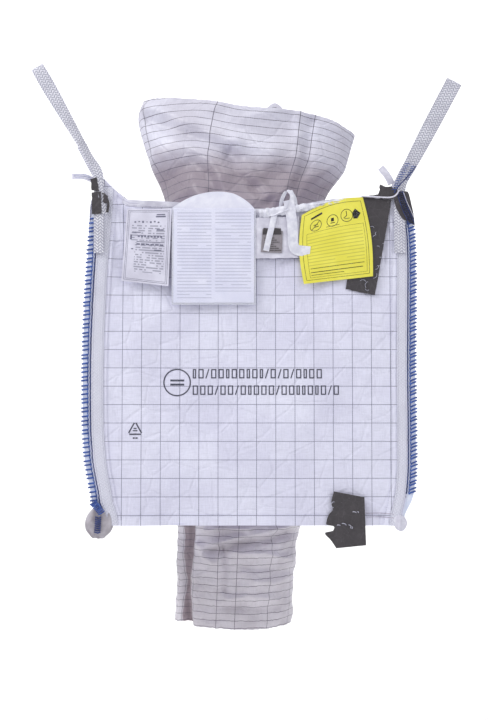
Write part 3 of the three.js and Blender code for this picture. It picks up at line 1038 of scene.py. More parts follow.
def drain_surface(u, v):
    """v runs from the free end, 0, up to the sewn base, 1."""
    angle = 2 * math.pi * (u + 0.25)
    c, s = math.cos(angle), math.sin(angle)
    wide = (drain_left if c < 0 else drain_right)(v)
    deep = mix(120, DRAIN_R, v)
    x = mix(-44, DRAIN_X, v) + wide * c
    up = v * 340
    around = u * DRAIN_ROUND
    fold = 7 * (ridge(around * 0.22 + up * 0.1, up, 62, 6.1) - 0.5)
    fold += 4 * (ridge(around * 0.5, up * 1.3, 40, 11.7) - 0.5)
    fold += 4.5 * crumple(around, up, 70, 8.8) + 2.2 * crumple(around, up * 1.3, 32, 3.9)
    channel = 0.0
    if s < 0:
        fold += 1.7 * creased(DRAIN_CREASES, x, up) * min(1.0, -2.0 * s)
        channel = 44 * along(x, up, DRAIN_CHANNEL, 14)
    fold = fold * smooth(0, 0.08, 1 - v) - channel * smooth(0, 0.1, 1 - v)
    hem = 3 * math.sin(around / 60) + 1.6 * noise.noise(Vector((u * 200, 1.3, 2.5)))
    low = DRAIN_END + 15 + hem + 12 * smooth(-150, -190, x)
    return (*pushed(x, deep * s, c, s, wide, deep, fold, 0.45), mix(low, DRAIN_Z, v))


def make_discharge_spout():
    spout = sheet("discharge_spout", drain_surface, (200, 64), 0.8, drain_cloth_with_fold_shade,
                  lambda u, v: ((u * DRAIN_ROUND + 10) / 1000, (v * 350) / 1000), wrap=True)
    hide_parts("discharge_spout")
    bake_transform(spout)


# ---- Sewn trims: hems, bindings, webbing bands and stitch rows ----------------------------------

BAND = {LEFT: 32, RIGHT: 27}
FACING = {LEFT: 10, RIGHT: 15}


def band_span(side, z):
    """Across limits of the webbing band beside a corner seam."""
    if side == LEFT:
        return left_edge(z) + 5, left_edge(z) + 5 + BAND[LEFT]
    return right_edge(z) - 4 - BAND[RIGHT], right_edge(z) - 4


def facing_span(side, z):
    """Across limits of the folded fabric beside the band."""
    low, high = band_span(side, z)
    return (high + 1, high + 1 + FACING[LEFT]) if side == LEFT else (low - 1 - FACING[RIGHT], low - 1)


def stitch_path(wall, points, lift):
    """Points on a wall through (across, height) places, at a lift."""
    path = []
    for (a0, z0), (a1, z1) in zip(points, points[1:]):
        count = max(1, round(math.hypot(a1 - a0, z1 - z0) / 8))
        for k in range(count):
            t = k / count
            path.append(Vector(WALLS[wall](mix(a0, a1, t), mix(z0, z1, t), lift)))
    return path + [Vector(WALLS[wall](*points[-1], lift))]


def make_trims():
    rows = []
    for wall, rim in RIMS.items():
        on_face = wall in FACES
        low, high = (-340, 352) if on_face else (-409, 409)
        hem = (-336, 346) if on_face else (-409, 409)
        ends = (-372, 378) if on_face else (-405, 405)

        def rim_heights(u):
            a = mix(high, low, u) if wall in TURNED else mix(low, high, u)
            return rim(a) - 17, rim(a) + 0.8

        for name, span, heights, material, cells in (
                (f"bottom_hem_{wall}", hem, lambda u: (0.5, 29), panel_cloth, (60, 3)),
                (f"rim_binding_{wall}", (low, high), rim_heights, trim_tape, (70, 3))):
            overlay(name, wall, lambda z: span, heights, 0.9, material, cells, nodes=(name,))
        rows.append(stitch_path(wall, [(mix(*ends, k / 40), 26) for k in range(41)], 1.6))
        rim_places = [mix(low, high, k / 40) for k in range(41)]
        rows.append(stitch_path(wall, [(a, rim(a) - 14) for a in rim_places], 1.7))
    for wall, _, label, side in CORNERS:
        name = f"webbing_band_{wall}_{label}"
        top = RIMS[wall](side * 370) - 4
        overlay(name, wall, lambda z: band_span(side, z), lambda u: (1.0, top), 1.6, band_web, (4, 80),
                slot="webbing", nodes=(name,))
        overlay(f"seam_facing_{wall}_{label}", wall, lambda z: facing_span(side, z),
                lambda u: (1.0, top - 8), 1.0, panel_cloth, (3, 60))
        for span, inset, width, drop, lift in ((band_span, 4, BAND[side], 6, 2.3),
                                               (facing_span, 2, FACING[side], 16, 1.7)):
            for offset in (inset, width - inset):
                places = [(span(side, z)[0] + offset, z) for z in range(8, int(top) - drop, 12)]
                rows.append(stitch_path(wall, places, lift))
    on_wall(stitches("sewn_stitches", rows, 4.2, 2.2, 0.45), "trim_fabric")
    # Two grey rows near the front hem: one stands for the hem's fold line, painted shade, the other for a
    # stitch row.
    hem_stitch_and_fold_shade_rows = [stitch_path("front", [(313, z), (350, z + 1), (386, z - 2)], 1.7) for z in (22.5, 32.5)]
    on_wall(threads("hem_stitch_and_fold_shade_rows", hem_stitch_and_fold_shade_rows, 0.8, hem_stitch_and_fold_shade_thread), "trim_fabric")


# ---- Overlocked corner seams --------------------------------------------------------------------

SEAM_OUT = 20
# Lowest and highest stitch, then the pitch and rise of a stitch.
OVERLOCK = {LEFT: (20, 850, 11.8, -2.5), RIGHT: (84, 872, 10.0, 7.0)}


def make_corner_seams():
    for wall, face, label, side in CORNERS:
        low, top, pitch, rise = OVERLOCK[side]
        seed = 2.0 + side + face * 3

        def fin(z, out, lift=0.0):
            """A point on the seam fin, out millimetres from the fabric edge."""
            sway = 2.6 * noise.noise(Vector((z / 55, out / 60, seed)))
            curl = 1.5 * math.sin(z / 37 + out / 16)
            return Vector((EDGES[side](z) + side * (out + 1.2 * noise.noise(Vector((z / 24, 1, seed)))),
                           face * (HALF - 3) + (sway + curl) * out / SEAM_OUT + face * lift, z))

        def surface(u, v):
            z = mix(2, top, v)
            turn = 1 - u if side == face else u
            width = mix(0.35, 1.0, smooth(10, 92, z)) if side == RIGHT else 1.0
            return fin(z, mix(-2, (SEAM_OUT - 1.5) * width, turn), 0.9)

        name = f"corner_seam_{wall}_{label}"
        strip = sheet(name, surface, (4, 130), 1.8, seam_tape, lambda u, v: (u * 0.022, v * top / 1000))
        on_wall(strip, "blue_thread", name)
        loops = []
        for k in range(int((top - low - 6) / pitch)):
            z = low + k * pitch + 1.2 * math.sin(k * 3.7)
            reach = SEAM_OUT + 0.8 * math.sin(k * 2.1)
            turns = ((0, 4, 1.9), (0.4, 9, 2.3), (0.8, 16, 2.1), (1, reach, 1.2), (1, reach + 0.6, 0),
                     (1, reach, -1.2), (0.6, 14, -2.2), (0, 4, -1.9))
            loops.append([fin(z + rise * share, out, lift) for share, out, lift in turns])
        needle, chain = [], []
        for k in range(int((top - low - 8) / 1.6)):
            z = low + k * 1.6
            wave = math.sin(z * 2 * math.pi / pitch)
            needle.append(fin(z, 4.4 + 0.9 * wave, 2.6))
            chain.append(fin(z, -2.2 + 0.5 * wave, 3.2))
        for part, lines, radius, material in (("overlock", loops, 2.5, blue_thread),
                                              ("overlock_needle", [needle], 1.2, blue_thread),
                                              ("overlock_chain", [chain], 1.7, navy_thread)):
            on_wall(threads(f"{part}_{wall}_{label}", lines, radius, material), "blue_thread")


# ---- Lifting loops ------------------------------------------------------------------------------

# Where each loop leaves the corner, across and up, its lean in degrees and its length from there.
LOOPS = {("front", "left"): (398.5, 934, 30, 352), ("front", "right"): (405, 908, 28, 329),
         ("back", "left"): (405, 908, 27, 352), ("back", "right"): (405, 908, 31, 318)}
# Twists and width shares up the outer run, then the width shares of the tip and the legs, and the legs' x.
LOOP_SHAPES = {"left": ((0.25, 0.85, 0.42, 0.15), (0.6, 0.58, 0.74, 0.96), 0.9, 0.66, 402),
               "right": ((0.1, 0.12, 0.1, 0.05), (0.82, 0.92, 1.05, 1.1), 1.12, 0.75, 406)}
WEB = 40


def make_loops():
    for wall, face, label, side in CORNERS:
        base_x, base_z, lean, reach = LOOPS[wall, label]
        turn, wide, tip, leg, leg_x = LOOP_SHAPES[label]
        lean = math.radians(lean)
        away = Vector((side * math.sin(lean), 0, math.cos(lean)))
        flat = Vector((math.cos(lean), 0, -side * math.sin(lean)))
        if face == BACK:
            wide = [0.85 * share for share in wide]
        base = Vector((side * base_x, 0, base_z))

        def up(share, depth):
            return base + away * (reach * share) + Vector((0, face * depth, 0))

        def twist(angle):
            return flat * math.cos(angle) + Vector((0, math.sin(angle), 0))

        near_tip = (wide[3] + tip) / 2
        inner = Vector((0, -side * face, 0))
        # Point, width direction and width share, from the face leg over the top to the side leg.
        stations = [
            ((side * leg_x, face * 430.0, 727), (1, 0, 0), leg),
            ((side * leg_x, face * 430.5, 800), (1, 0, 0), leg),
            ((side * (leg_x + 1), face * 431.0, 870), (1, 0, 0), leg),
            (up(0.03, 430), twist(turn[0]), wide[0]),
            (up(0.22, 428), twist(turn[1]), wide[1]),
            (up(0.5, 424), twist(turn[2]), wide[2]),
            (up(0.8, 420), twist(turn[3]), wide[3]),
            (up(0.965, 418), twist(0.02), near_tip),
            (up(1.0, 413), twist(0.0), tip),
            (up(0.965, 408), twist(-0.02), near_tip),
            (up(0.8, 405), twist(-0.1), wide[3]),
            (up(0.5, 400), twist(-0.25), wide[2]),
            (up(0.22, 396), twist(-0.5), wide[1]),
            (up(0.03, 393), (0.45, -0.85 * side * face, -0.2), 0.75),
            ((side * 424, face * 391, 872), inner, 1),
            ((side * 429, face * 391, 800), inner, 1),
            ((side * 430, face * 391, 727), inner, 1),
        ]
        places, directions, shares = zip(*stations)
        places = [Vector(p) for p in places]
        counts = step_counts(places, 6)
        line, sides, widths = (through(values, counts, values[0], values[-1])
                               for values in (places, [Vector(d) for d in directions], list(shares)))
        name = f"lifting_loop_{wall}_{label}"
        loop = strap(name, line, lambda i: sides[i], lambda i: WEB * widths[i], 2.4, webbing, bow=2.2)
        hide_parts(name, f"loop_leg_face_{wall}_{label}", f"loop_leg_side_{wall}_{label}")
        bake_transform(loop)
        rows = [[(dx, z) for dx in (-12, 12)] for z in (734, 760, 786, 812, 838)]
        rows += [[(dx, z) for z in range(734, 842, 13)] for dx in (-12, 12)]
        rows = [[Vector((side * leg_x + dx, face * 431.9, z)) for dx, z in row] for row in rows]
        on_body(stitches(f"loop_stitches_{wall}_{label}", rows, 3.6, 2.0, 0.5), "root", "webbing")


# ---- Labels, pouch and paper --------------------------------------------------------------------

LABEL_Y = -432.6
PAPER_Y = -433.0


def label_pieces(name, size, place, cells, paper, marks, print_ink):
    """A label and its raised print; place(a, b, lift) is measured from its lower left corner."""
    wide, high = size
    label = sheet(name, lambda u, v: place(u * wide, v * high, 0.0), cells, 0.35, paper,
                  lambda u, v: (u * wide / 1000, v * high / 1000))
    return label, plates(f"{name}_print", split_outlines(marks, 24), place, 0.2, print_ink)


def make_white_label():
    wide, high = 128, 208

    def place(a, b, lift):
        u, v = a / wide, b / high
        bend = 2.0 * math.sin(math.pi * u) * math.sin(math.pi * v) + 1.2 * billow(a, b, 70, 4.0)
        sag = 1.5 * math.sin(math.pi * u)
        x = mix(mix(-340, -214, u), mix(-326, -206, u), v)
        z = mix(mix(652, 637, u), mix(847, 848, u), v)
        return x, LABEL_Y - 0.8 - bend - lift, z - sag * v

    marks = frame_outlines(5, 5, wide - 5, high - 5, 1.0) + frame_outlines(9, 9, wide - 9, high - 9, 0.9)
    marks += boxes((84, 184, 112, 188), (86, 190, 110, 193))
    marks += [box_outline(24 + 11 * k, 168 + (k % 2) * 2, 29 + 11 * k, 172 + (k % 3)) for k in range(7)]
    marks += [box_outline(36 + 9 * k, 128, 42 + 9 * k, 133) for k in range(8)]
    marks += boxes((15, 120, 20, 134), (34, 114, 112, 116), (20, 140, 44, 142.5))
    marks += [box_outline(34 + 13 * k, 106, 44 + 13 * k, 110) for k in range(6)]
    marks += boxes((20, 92, 26, 95), (84, 92, 104, 95), (88, 148, 108, 151))
    label, printed = label_pieces("white_label", (wide, high), place, (24, 30), white_print, marks,
                                  pale_ink)
    on_body(label, "white_label", "white_label", "white_label")
    on_body(printed, "white_label", "white_label")


def make_yellow_label():
    wide, high = 186, 222

    def place(a, b, lift):
        u, v = a / wide, b / high
        x = mix(mix(148, 333, u), mix(143, 307, u), v) - 10 * math.sin(math.pi * v) * (1 - u)
        x += 9 * math.sin(math.pi * v) * u
        z = mix(mix(643, 664, u), mix(829, 877, u), v) + 14 * math.sin(math.pi * u) * v ** 3
        bend = 2.5 * math.sin(math.pi * u) * math.sin(math.pi * v) + 1.4 * billow(a, b, 80, 14.0)
        return x, LABEL_Y - 1.4 - bend - lift, z

    marks = frame_outlines(9, 9, wide - 9, high - 9, 1.0) + frame_outlines(20, 16, wide - 15, 152, 0.6)
    for ring in ((44, 171, 16), (90, 172, 16), (130, 178, 17)):
        marks += ring_outlines(*ring, 1.5)
    marks += bars((34, 161, 54, 181, 1.6))
    marks += boxes((38, 172, 50, 174), (40, 166, 52, 168), (84, 165, 96, 167), (86, 170, 94, 179))
    marks += bars((130, 178, 130, 190, 1.8), (130, 178, 121, 172, 1.8), (123, 170, 137, 170, 1.4))
    marks.append([(147, 167), (147, 184), (156, 193), (169, 180), (158, 166)])
    marks += bars((30, 194, 62, 200, 5.5), (72, 158, 108, 158, 1.2))
    marks += boxes((24, 43, 164, 44.6), (24, 31, 160, 33), (24, 23, 110, 24.4))
    label, printed = label_pieces("yellow_label", (wide, high), place, (30, 34), yellow_print, marks,
                                  label_ink)
    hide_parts("yellow_label")
    for piece in (label, printed):
        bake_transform(piece)


def make_document():
    x0, z0, wide, high = -204, 590, 221, 262

    def paper(u, v):
        bend = 1.2 * billow(u * wide, v * high, 90, 24.0)
        return x0 + 3 + u * (wide - 5), PAPER_Y - 0.2 - abs(bend) * 0.5, z0 + 3 + v * (high - 6)

    mouth = curve([(-206, 850), (-168, 873), (-133, 887), (-88, 894), (-45, 890), (-22, 880), (2, 863),
                   (20, 843)])

    def backing(u, v):
        x = x0 - 1 + u * (wide + 3)
        wave = 1.5 * billow(x, v * 280, 45, 27.0) * smooth(0.8, 1.0, v)
        return x, PAPER_Y + 0.75 - wave * 0.3, mix(z0 - 2, mouth(x) - 1, v)

    def pouch(u, v):
        """Round the flat pouch: the front sheet first, then the back sheet."""
        side, t = divmod((u % 1.0) * 2, 1.0)
        front = side == 0
        across = t if front else 1 - t
        x = x0 - 2 + across * (wide + 5)
        inset = min(across, 1 - across)
        gap = min(1.0, 8 * inset) * smooth(0.0, 0.03, v)
        wave = 1.6 * billow(x, v * 290, 60, 31.0) * smooth(0, 0.15, v) * min(1.0, 5 * inset)
        y = PAPER_Y - (0.35 + gap + max(0.0, wave) if front else -0.35 - gap * 0.2)
        return x, y, mix(z0 - 3, 846 if front else 840, v)

    page = sheet("document_sheet", paper, (26, 30), 0.2, paper_print, lambda u, v: (u * 0.216, v * 0.256))
    on_body(page, "document_sheet", "document_paper", "document_sheet")
    back = sheet("pouch_backing", backing, (44, 44), 0.15, pouch_white, lambda u, v: (u * 0.22, v * 0.29))
    on_body(back, "document_pouch", "pouch_film")
    film = sheet("document_pouch", pouch, (64, 36), 0.12, pouch_film, lambda u, v: (u * 0.44, v * 0.29),
                 wrap=True)
    on_body(film, "document_pouch", "pouch_film", "document_pouch")


# ---- Black film, tag and ribbon -----------------------------------------------------------------

FILM = 0.4              # thickness of a film patch


def patch(name, corners, y, wrinkle, cells, seed, material=None, slot="black_film", nodes=()):
    """A thin piece between four corners: lower left, lower right, upper right, upper left."""
    (ax, az), (bx, bz), (cx, cz), (dx, dz) = corners

    def surface(u, v):
        x = mix(mix(ax, bx, u), mix(dx, cx, u), v)
        z = mix(mix(az, bz, u), mix(dz, cz, u), v)
        lift = wrinkle * (crumple(x, z, 26, seed) + 0.8 * billow(x, z, 40, seed + 2))
        ragged = 1.4 * wrinkle * billow(x, z, 11, seed + 4) * (1 - smooth(0, 0.06, min(u, v, 1 - u, 1 - v)))
        return x + ragged, y - max(lift, 0), z + ragged

    piece = sheet(name, surface, cells, FILM, material or black_film, lambda u, v: (u * 0.08, v * 0.1))
    on_body(piece, "root", slot, *nodes)


def arcs(places, count, step, squeeze, y, bulge):
    """Short curled threads from (x, z, first angle, size) places."""
    return [[Vector((x + size * math.cos(turn + k * step), y - bulge * math.sin(k * 1.1),
                     z + size * squeeze * math.sin(turn + k * step))) for k in range(count)]
            for x, z, turn, size in places]


def make_black_parts():
    patch("black_strip", [(260, 630), (338, 613), (385, 872), (304, 877)], -430.2, 1.0, (18, 44), 5.0,
          nodes=("black_strip",))
    torn = curve([(-59, 232), (-37, 217), (-18, 202), (-13, 222), (-9, 225), (-1, 225), (3, 207), (10, 206),
                  (29, 212), (41, 222), (48, 222), (63, 219), (90, 226)])

    def torn_patch(u, v):
        z = mix(mix(-59, -51, u), mix(91, 76, u), v)
        x = mix(torn(z), mix(311, 307, v), u)
        lift = 1.6 * crumple(x, z, 34, 8.5) + 1.4 * billow(x, z, 50, 9.5)
        return x, -430.4 - max(lift, 0), z

    torn_film = sheet("black_patch", torn_patch, (20, 90), FILM, black_film,
                      lambda u, v: (u * 0.08, v * 0.14))
    on_wall(torn_film, "black_film", "black_patch")
    scraps = arcs(((238, 0, 0.5, 5), (250, 2, 0.0, 8), (262, -2, -0.7, 9), (270, -4, -1.1, 5),
                   (279, 34, 0.2, 6), (222, 44, 1.2, 8), (226, 60, 1.4, 6), (288, 36, -0.5, 3)),
                  5, 0.5, 0.6, -433.6, 1)
    on_wall(threads("patch_scraps", scraps, 0.9, white_thread), "black_film")
    curls = arcs(((331, 793, 0.3, 6), (345, 779, 2.0, 5), (338, 770, 1.0, 4), (353, 724, 4.4, 9),
                  (349, 700, 4.2, 8), (341, 690, 4.5, 7), (306, 646, 0.4, 9), (322, 640, 1.8, 10),
                  (335, 668, 4.6, 9), (347, 742, 0.2, 4), (318, 632, 3.4, 6), (362, 756, 4.0, 4)),
                 6, 0.42, 1, -432.4, 0)
    on_body(threads("strip_scraps", curls, 0.55, white_thread), "root", "black_film")
    patch("rim_film", [(347, 876), (398, 872), (399, 900), (352, 912)], -434.2, 3.2, (14, 12), 11.0,
          nodes=("rim_film",))
    patch("rim_film_edge", [(306, 874), (362, 876), (362, 886), (304, 880)], -433.0, 1.5, (12, 5), 12.0)
    patch("corner_sleeve_left", [(-420, 831), (-394, 833), (-396, 893), (-421, 890)], -435.0, 1.4,
          (8, 16), 14.0, nodes=("corner_sleeve_left",))
    patch("corner_sleeve_left_top", [(-421, 896), (-400, 893), (-408, 932), (-425, 926)], -435.4, 1.2,
          (8, 12), 15.0)
    curl = [(-392, -434, 890), (-382, -436, 878), (-376, -437, 858), (-379, -436, 836)]
    strap_piece("corner_sleeve_left_curl", curl, (1, 0.6, 0), 7, black_film, "black_film", 0.5, 3, step=4)
    patch("corner_sleeve_left_lump", [(-391, 864), (-378, 860), (-377, 880), (-388, 884)], -438.0, 1.6,
          (8, 8), 18.0)
    sleeve_left = curve([(818, 415), (826, 408), (850, 396), (880, 388), (893, 386)])
    sleeve_right = curve([(800, 446), (831, 443), (865, 436), (886, 431), (893, 427)])

    def sleeve(u, v):
        z = mix(mix(818, 800, u), 893, v)
        x = mix(sleeve_left(z), sleeve_right(z), u)
        return x, -434.6 - 1.4 * crumple(x, z, 18, 17.0) - 2.2 * math.sin(math.pi * u), z

    wrap_film = sheet("corner_sleeve_right", sleeve, (14, 30), 0.5, black_film,
                      lambda u, v: (u * 0.04, v * 0.08))
    on_body(wrap_film, "root", "black_film", "corner_sleeve_right")
    middle = spline([(406, -438.9, 892), (412, -439.2, 868), (421, -439.2, 842), (432, -438.9, 818),
                     (437, -438.0, 804)], 3)
    zigzag = [p + Vector((6 if i % 2 else -6, 0, 0)) for i, p in enumerate(middle)]
    edges = [[p + Vector(shift) for p in middle] for shift in ((7.5, 0.2, 1), (-7.5, 0.2, -1))]
    on_body(threads("sleeve_stitching", [zigzag, *edges], 1.15, navy_thread), "root", "blue_thread")
    piping = spline([(416, -439.6, 889), (424, -440.2, 865), (435, -440.0, 840), (443, -439.0, 822)], 4)
    on_body(threads("sleeve_piping", [piping], 1.1, white_thread), "root", "trim_fabric")
    rim_piping = [(302, -436.5, 880), (341, -440.5, 877), (377, -441.0, 875.5), (394, -441.0, 881),
                  (404, -440.0, 895)]
    strap_piece("rim_piping_right", rim_piping, (-0.35, 0, 1), 3.8, trim_tape, "trim_fabric", 1.2, 0.8)


def make_tag():
    patch("tag_backing", [(18, 712), (134, 714), (137, 826), (16, 822)], -430.2, 1.4, (20, 20), 21.0,
          trim_tape, "tape_fabric", ("tag_backing",))
    patch("grey_tag", [(33, 729), (90, 727), (92, 786), (38, 792)], -432.6, 0.9, (14, 14), 22.0, grey_card,
          "grey_card", ("grey_tag",))
    for k, (low, high) in enumerate(((38, 60), (66, 88))):
        patch(f"tag_cap_{k}", [(low, 776), (high, 777), (high - 1, 793), (low + 2, 794)], -434.0, 0.6,
              (6, 5), 23.0 + k)
    rows = [box_outline(42, 733 + k * 5.5, 88 - (k * 7) % 23, 733 + k * 5.5 + 1.4) for k in range(7)]
    lines = plates("grey_tag_print", rows, lambda a, b, lift: (a, -434.1 - lift, b), 0.2, label_ink)
    on_body(lines, "root", "grey_card")


def make_ribbon():
    """The closing ribbon gathered along the rim, and its loops that stand up behind the ties."""
    middle = curve([(34, 836), (80, 842), (140, 851), (200, 862), (256, 872)])
    for name, drop, reach, seed, nodes in (("rim_ribbon", 0.0, 12.5, 0.0, ("rim_ribbon",)),
                                           ("rim_ribbon_under", 5.5, 9.0, 30.0, ())):
        def surface(u, v):
            x = mix(30, 262, u)
            taper = 0.35 + 0.65 * math.sin(math.pi * min(u * 1.35 + 0.12, 1.0)) ** 0.6
            height = taper * (reach + 8 * billow(x, 0, 30, 41.0 + seed) + 4 * billow(x, 0, 11, 43.0 + seed))
            crinkle = 1.8 * math.sin(x / 3.4 + 3 * billow(x, v * 20, 22, 45.0 + seed))
            crinkle += 3.2 * crumple(x, v * 30, 13, 47.0 + seed)
            bulge = 4.5 * math.sin(math.pi * v)
            z = middle(x) - drop + mix(-height, height * 0.8, v) + 2.4 * billow(x, v * 9, 7, 51.0 + seed)
            sway = 4 * billow(x, v * 30, 16, 49.0 + seed)
            return x + sway, -430.2 + drop * 0.12 - bulge - crinkle * 0.8, z

        piece = sheet(name, surface, (130, 10), 0.6, tie_cloth, lambda u, v: (u * 0.34, v * 0.03))
        on_body(piece, "root", "tape_fabric", *nodes)
    for k, (width, rise, points) in enumerate((
            (11, 0.5, [(86, -428, 846), (90, -431, 872), (104, -432, 894), (122, -430, 880), (128, -428, 852)]),
            (13, 0.5, [(100, -432, 838), (112, -434, 858), (118, -433, 880), (112, -430, 896)]),
            (9, 1, [(40, -432, 838), (62, -435, 830), (84, -436, 838), (108, -435, 848)]))):
        strap_piece(f"ribbon_loop_{k}", points, (0.8, 0.3, rise), width, tie_cloth, "tape_fabric", 0.6, 2.5)


# ---- Corner details -----------------------------------------------------------------------------


def make_corners():
    left_stub = [(-418, -424, 925), (-440, -426, 934), (-462, -425, 936), (-476, -424, 935)]
    strap_piece("corner_stub_left", left_stub, (0.1, 0.35, 1), 17, trim_tape, "trim_fabric")
    hairs = [spline([(-424, -427.2, z - 3), (-445, -428.4, z + 1.5), (end, -427.6, z + 2.4)], 5)
             for z, end in ((929, -466), (934.2, -470), (939.4, -474))]
    on_body(threads("corner_stub_threads", hairs, 0.4, blue_thread), "root", "blue_thread")
    right_stub = [(386, -422, 915), (376, -424, 935), (363, -425, 952), (356, -424, 960)]
    strap_piece("corner_stub_right", right_stub, (1, 0.2, 0.6), 20, trim_tape, "trim_fabric")
    left_web = [(-386, -431, 832), (-391, -432.5, 860), (-397, -433, 892), (-402, -431, 926)]
    strap_piece("corner_web_left", left_web, (1, 0.15, 0.1), 16, webbing, "webbing", 2.0)

    def on_strap(t, cross, lift):
        """A point on the right front loop, t up from its base and cross to the right of its centre."""
        return Vector((405 + 0.469 * t + 0.883 * cross, -431.5 - lift, 908 + 0.883 * t - 0.469 * cross))

    knots = []
    for k in range(13):
        t = k * 6.6 - 18
        knots.append([on_strap(t, -14, 2.6), on_strap(t + 2, -9, 4.2), on_strap(t + 5, -2, 4.6)])
        if k > 5:
            knots.append([on_strap(t, 4, 4.6), on_strap(t + 4, 9, 4.2), on_strap(t + 6, 14, 2.6)])
    edge_line = [on_strap(t, mix(-3, 14, smooth(-20, 66, t)), 5.0) for t in range(-24, 72, 4)]
    for piece in (threads("loop_base_stitches", knots, 1.0, blue_thread),
                  threads("loop_base_row", [edge_line], 1.6, navy_thread)):
        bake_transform(piece)
    # The left corner fold takes the grey cloth as painted shade; the right one keeps the white tape.
    for label, x, wide, high, material in (("left", -396, 38, 43, painted_shade_ear_cloth),
                                           ("right", 402, 18, 22, trim_tape)):
        side = SIDES[label]

        def ear(u, v):
            """A gathered fold of fabric that hangs from the bottom corner."""
            turn = 2 * math.pi * u
            ring = math.sin(math.pi * v)
            swell = 1 + 0.12 * billow(math.cos(turn) * 30 + side * 90, v * 46, 26, 71.0)
            a = x + wide * ring * math.cos(turn) * swell + side * 5 * (0.5 - v)
            b = 8 - high * math.cos(math.pi * v) * (1 + 0.12 * billow(a, v * 60, 16, 73.0))
            crease = 6 * (crumple(a * 1.6, b * 0.7, 17, 61.0 + side) - 0.4) + 2.5 * math.sin(a / 3.6)
            return a, -420.5 + 9.5 * ring * math.sin(turn) + crease * ring * 0.7, b

        piece = sheet(f"bottom_corner_{label}", ear, (40, 30), 0.8, material,
                      lambda u, v: (u * 0.1, v * 0.06), wrap=True)
        on_wall(piece, "trim_fabric")
    bits = [(mix(-411, -389, k / 7), mix(60, 34, (k / 7) ** 1.2)) for k in range(8)]
    tail = [(-396 - k * 0.3, 22 - k * 5.6) for k in range(8)]
    for name, places, bend, material in (
            ("bottom_corner_threads_left", bits, ((-8, -436.0, -4), (0, -437.2, 0), (8, -436.0, 6)),
             blue_thread),
            ("bottom_corner_tail_left", tail, ((-9, -435.5, 2), (0, -437.0, -1), (7, -435.5, 2)), navy_thread)):
        lines = [[Vector((x + dx, y, z + dz)) for dx, y, dz in bend] for x, z in places]
        on_wall(threads(name, lines, 2.2, material), "blue_thread")


# ---- Printed marks ------------------------------------------------------------------------------


def make_marks():
    """Plain generic marks: a ring, two rows of blocks and a triangle."""
    marks = ring_outlines(-190.7, 380, 37, 3.4, 36) + boxes((-209, 383, -172, 388), (-209, 372, -172, 377))
    random.seed(12)
    for low, limit in ((391, 186), (347, 228)):
        a = -149
        while a < limit:
            kind = random.choice(("box", "box", "box", "narrow", "slash"))
            wide = {"box": 14, "narrow": 9, "slash": 8}[kind]
            if kind == "slash":
                marks.append(bar_outline(a, low, a + wide, low + 25, 2.8))
            else:
                marks += frame_outlines(a, low, a + wide, low + 25, 3.0)
            a += wide + 6
    x, z = -302, 259
    corners = [(x - 19, z - 17), (x + 19, z - 17), (x, z + 17)]
    for (a0, b0), (a1, b1) in zip(corners, corners[1:] + corners[:1]):
        ends = [mix(start, end, t) for t in (0.1, 0.9) for start, end in ((a0, a1), (b0, b1))]
        marks.append(bar_outline(*ends, 3.6))
    marks += boxes((x - 6, z - 29, x - 1, z - 25), (x + 1, z - 29, x + 7, z - 25),
                   (x - 6, z - 9, x + 6, z - 6), (x - 4, z - 3, x + 4, z))
    printed = plates("printed_marks", split_outlines(marks, 12),
                     lambda a, b, lift: WALLS["front"](a, b, 0.25 + lift), 0.3, ink)
    on_wall(printed, "panel_fabric")


make_walls()
make_top()
make_bottom()
seam_ring("filling_spout_seam", FILL_X, FILL_R, FILL_Z, 1, "root")
seam_ring("discharge_spout_seam", DRAIN_X, DRAIN_R, DRAIN_Z, -1, "bottom")
make_filling_spout()
make_discharge_spout()
make_trims()
make_corner_seams()
make_loops()
make_white_label()
make_yellow_label()
make_document()
make_black_parts()
make_tag()
make_ribbon()
make_corners()
make_marks()

# ---- Studio -------------------------------------------------------------------------------------


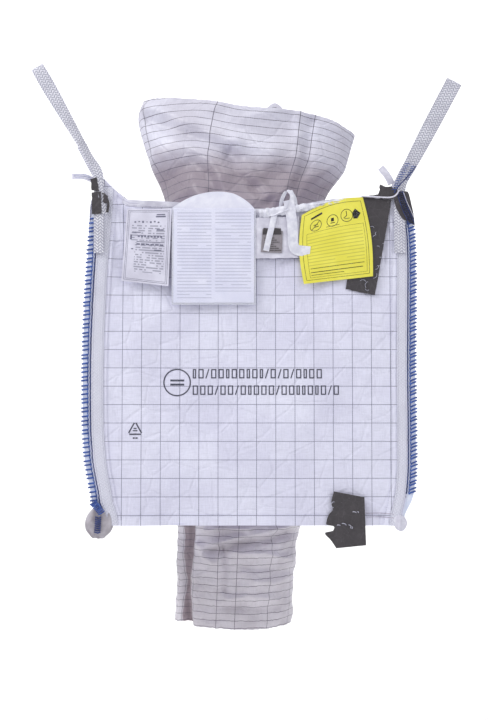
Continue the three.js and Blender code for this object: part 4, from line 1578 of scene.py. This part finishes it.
def stage_sheet():
    """A pale floor that turns up into a pale wall far behind the bag, in metres."""
    profile = [(-8.0, 0.0), (0.0, 0.0), (5.4, 0.0), (6.3, 0.15), (6.8, 0.6), (7.0, 1.4), (7.0, 7.5)]
    low = HEM_Z - 0.95
    line = spline([(0, y * 1000, z * 1000) for y, z in profile], 120)
    verts = [(x, p.y / 1000, low + p.z / 1000) for p in line for x in (-9, 9)]
    faces = [[2 * i, 2 * i + 1, 2 * i + 3, 2 * i + 2] for i in range(len(line) - 1)]
    m = Nodes("studio_paper", roughness=0.9, specular=0.1)
    m.shader.inputs["Base Color"].default_value = (0.92, 0.92, 0.92, 1)
    mesh = bpy.data.meshes.new("studio_floor")
    mesh.from_pydata(verts, [], faces)
    mesh.materials.append(m.material)
    mesh.polygons.foreach_set("use_smooth", [True] * len(mesh.polygons))
    obj = bpy.data.objects.new("studio_floor", mesh)
    bpy.context.scene.collection.objects.link(obj)
    return obj


def area_light(name, place, aim, size, power):
    data = bpy.data.lights.new(name, "AREA")
    data.shape = "RECTANGLE"
    data.size, data.size_y = size
    data.energy = power
    lamp = bpy.data.objects.new(name, data)
    bpy.context.scene.collection.objects.link(lamp)
    lamp.location = place
    lamp.rotation_euler = (Vector(aim) - Vector(place)).to_track_quat("-Z", "Y").to_euler()
    return lamp


floor = stage_sheet()
bag_middle = at(0, 0, 450)
lamps = [
    area_light("key_light", (-3.2, -2.2, 2.2), bag_middle, (1.6, 1.6), 107),
    area_light("fill_light", (2.8, -3.0, 0.2), bag_middle, (2.6, 2.6), 21),
    area_light("top_light", (0.6, -0.9, 3.0), bag_middle, (1.8, 1.8), 25),
    area_light("backdrop_light", (0.0, 4.0, 4.2), (0, 7.0, 0.2), (6.0, 2.0), 330),
]

world = bpy.data.worlds.new("studio")
bpy.context.scene.world = world
world.use_nodes = True
world.node_tree.nodes["Background"].inputs["Color"].default_value = (0.96, 0.97, 1.0, 1)
world.node_tree.nodes["Background"].inputs["Strength"].default_value = 0.60
bpy.context.scene.view_settings.view_transform = "Standard"
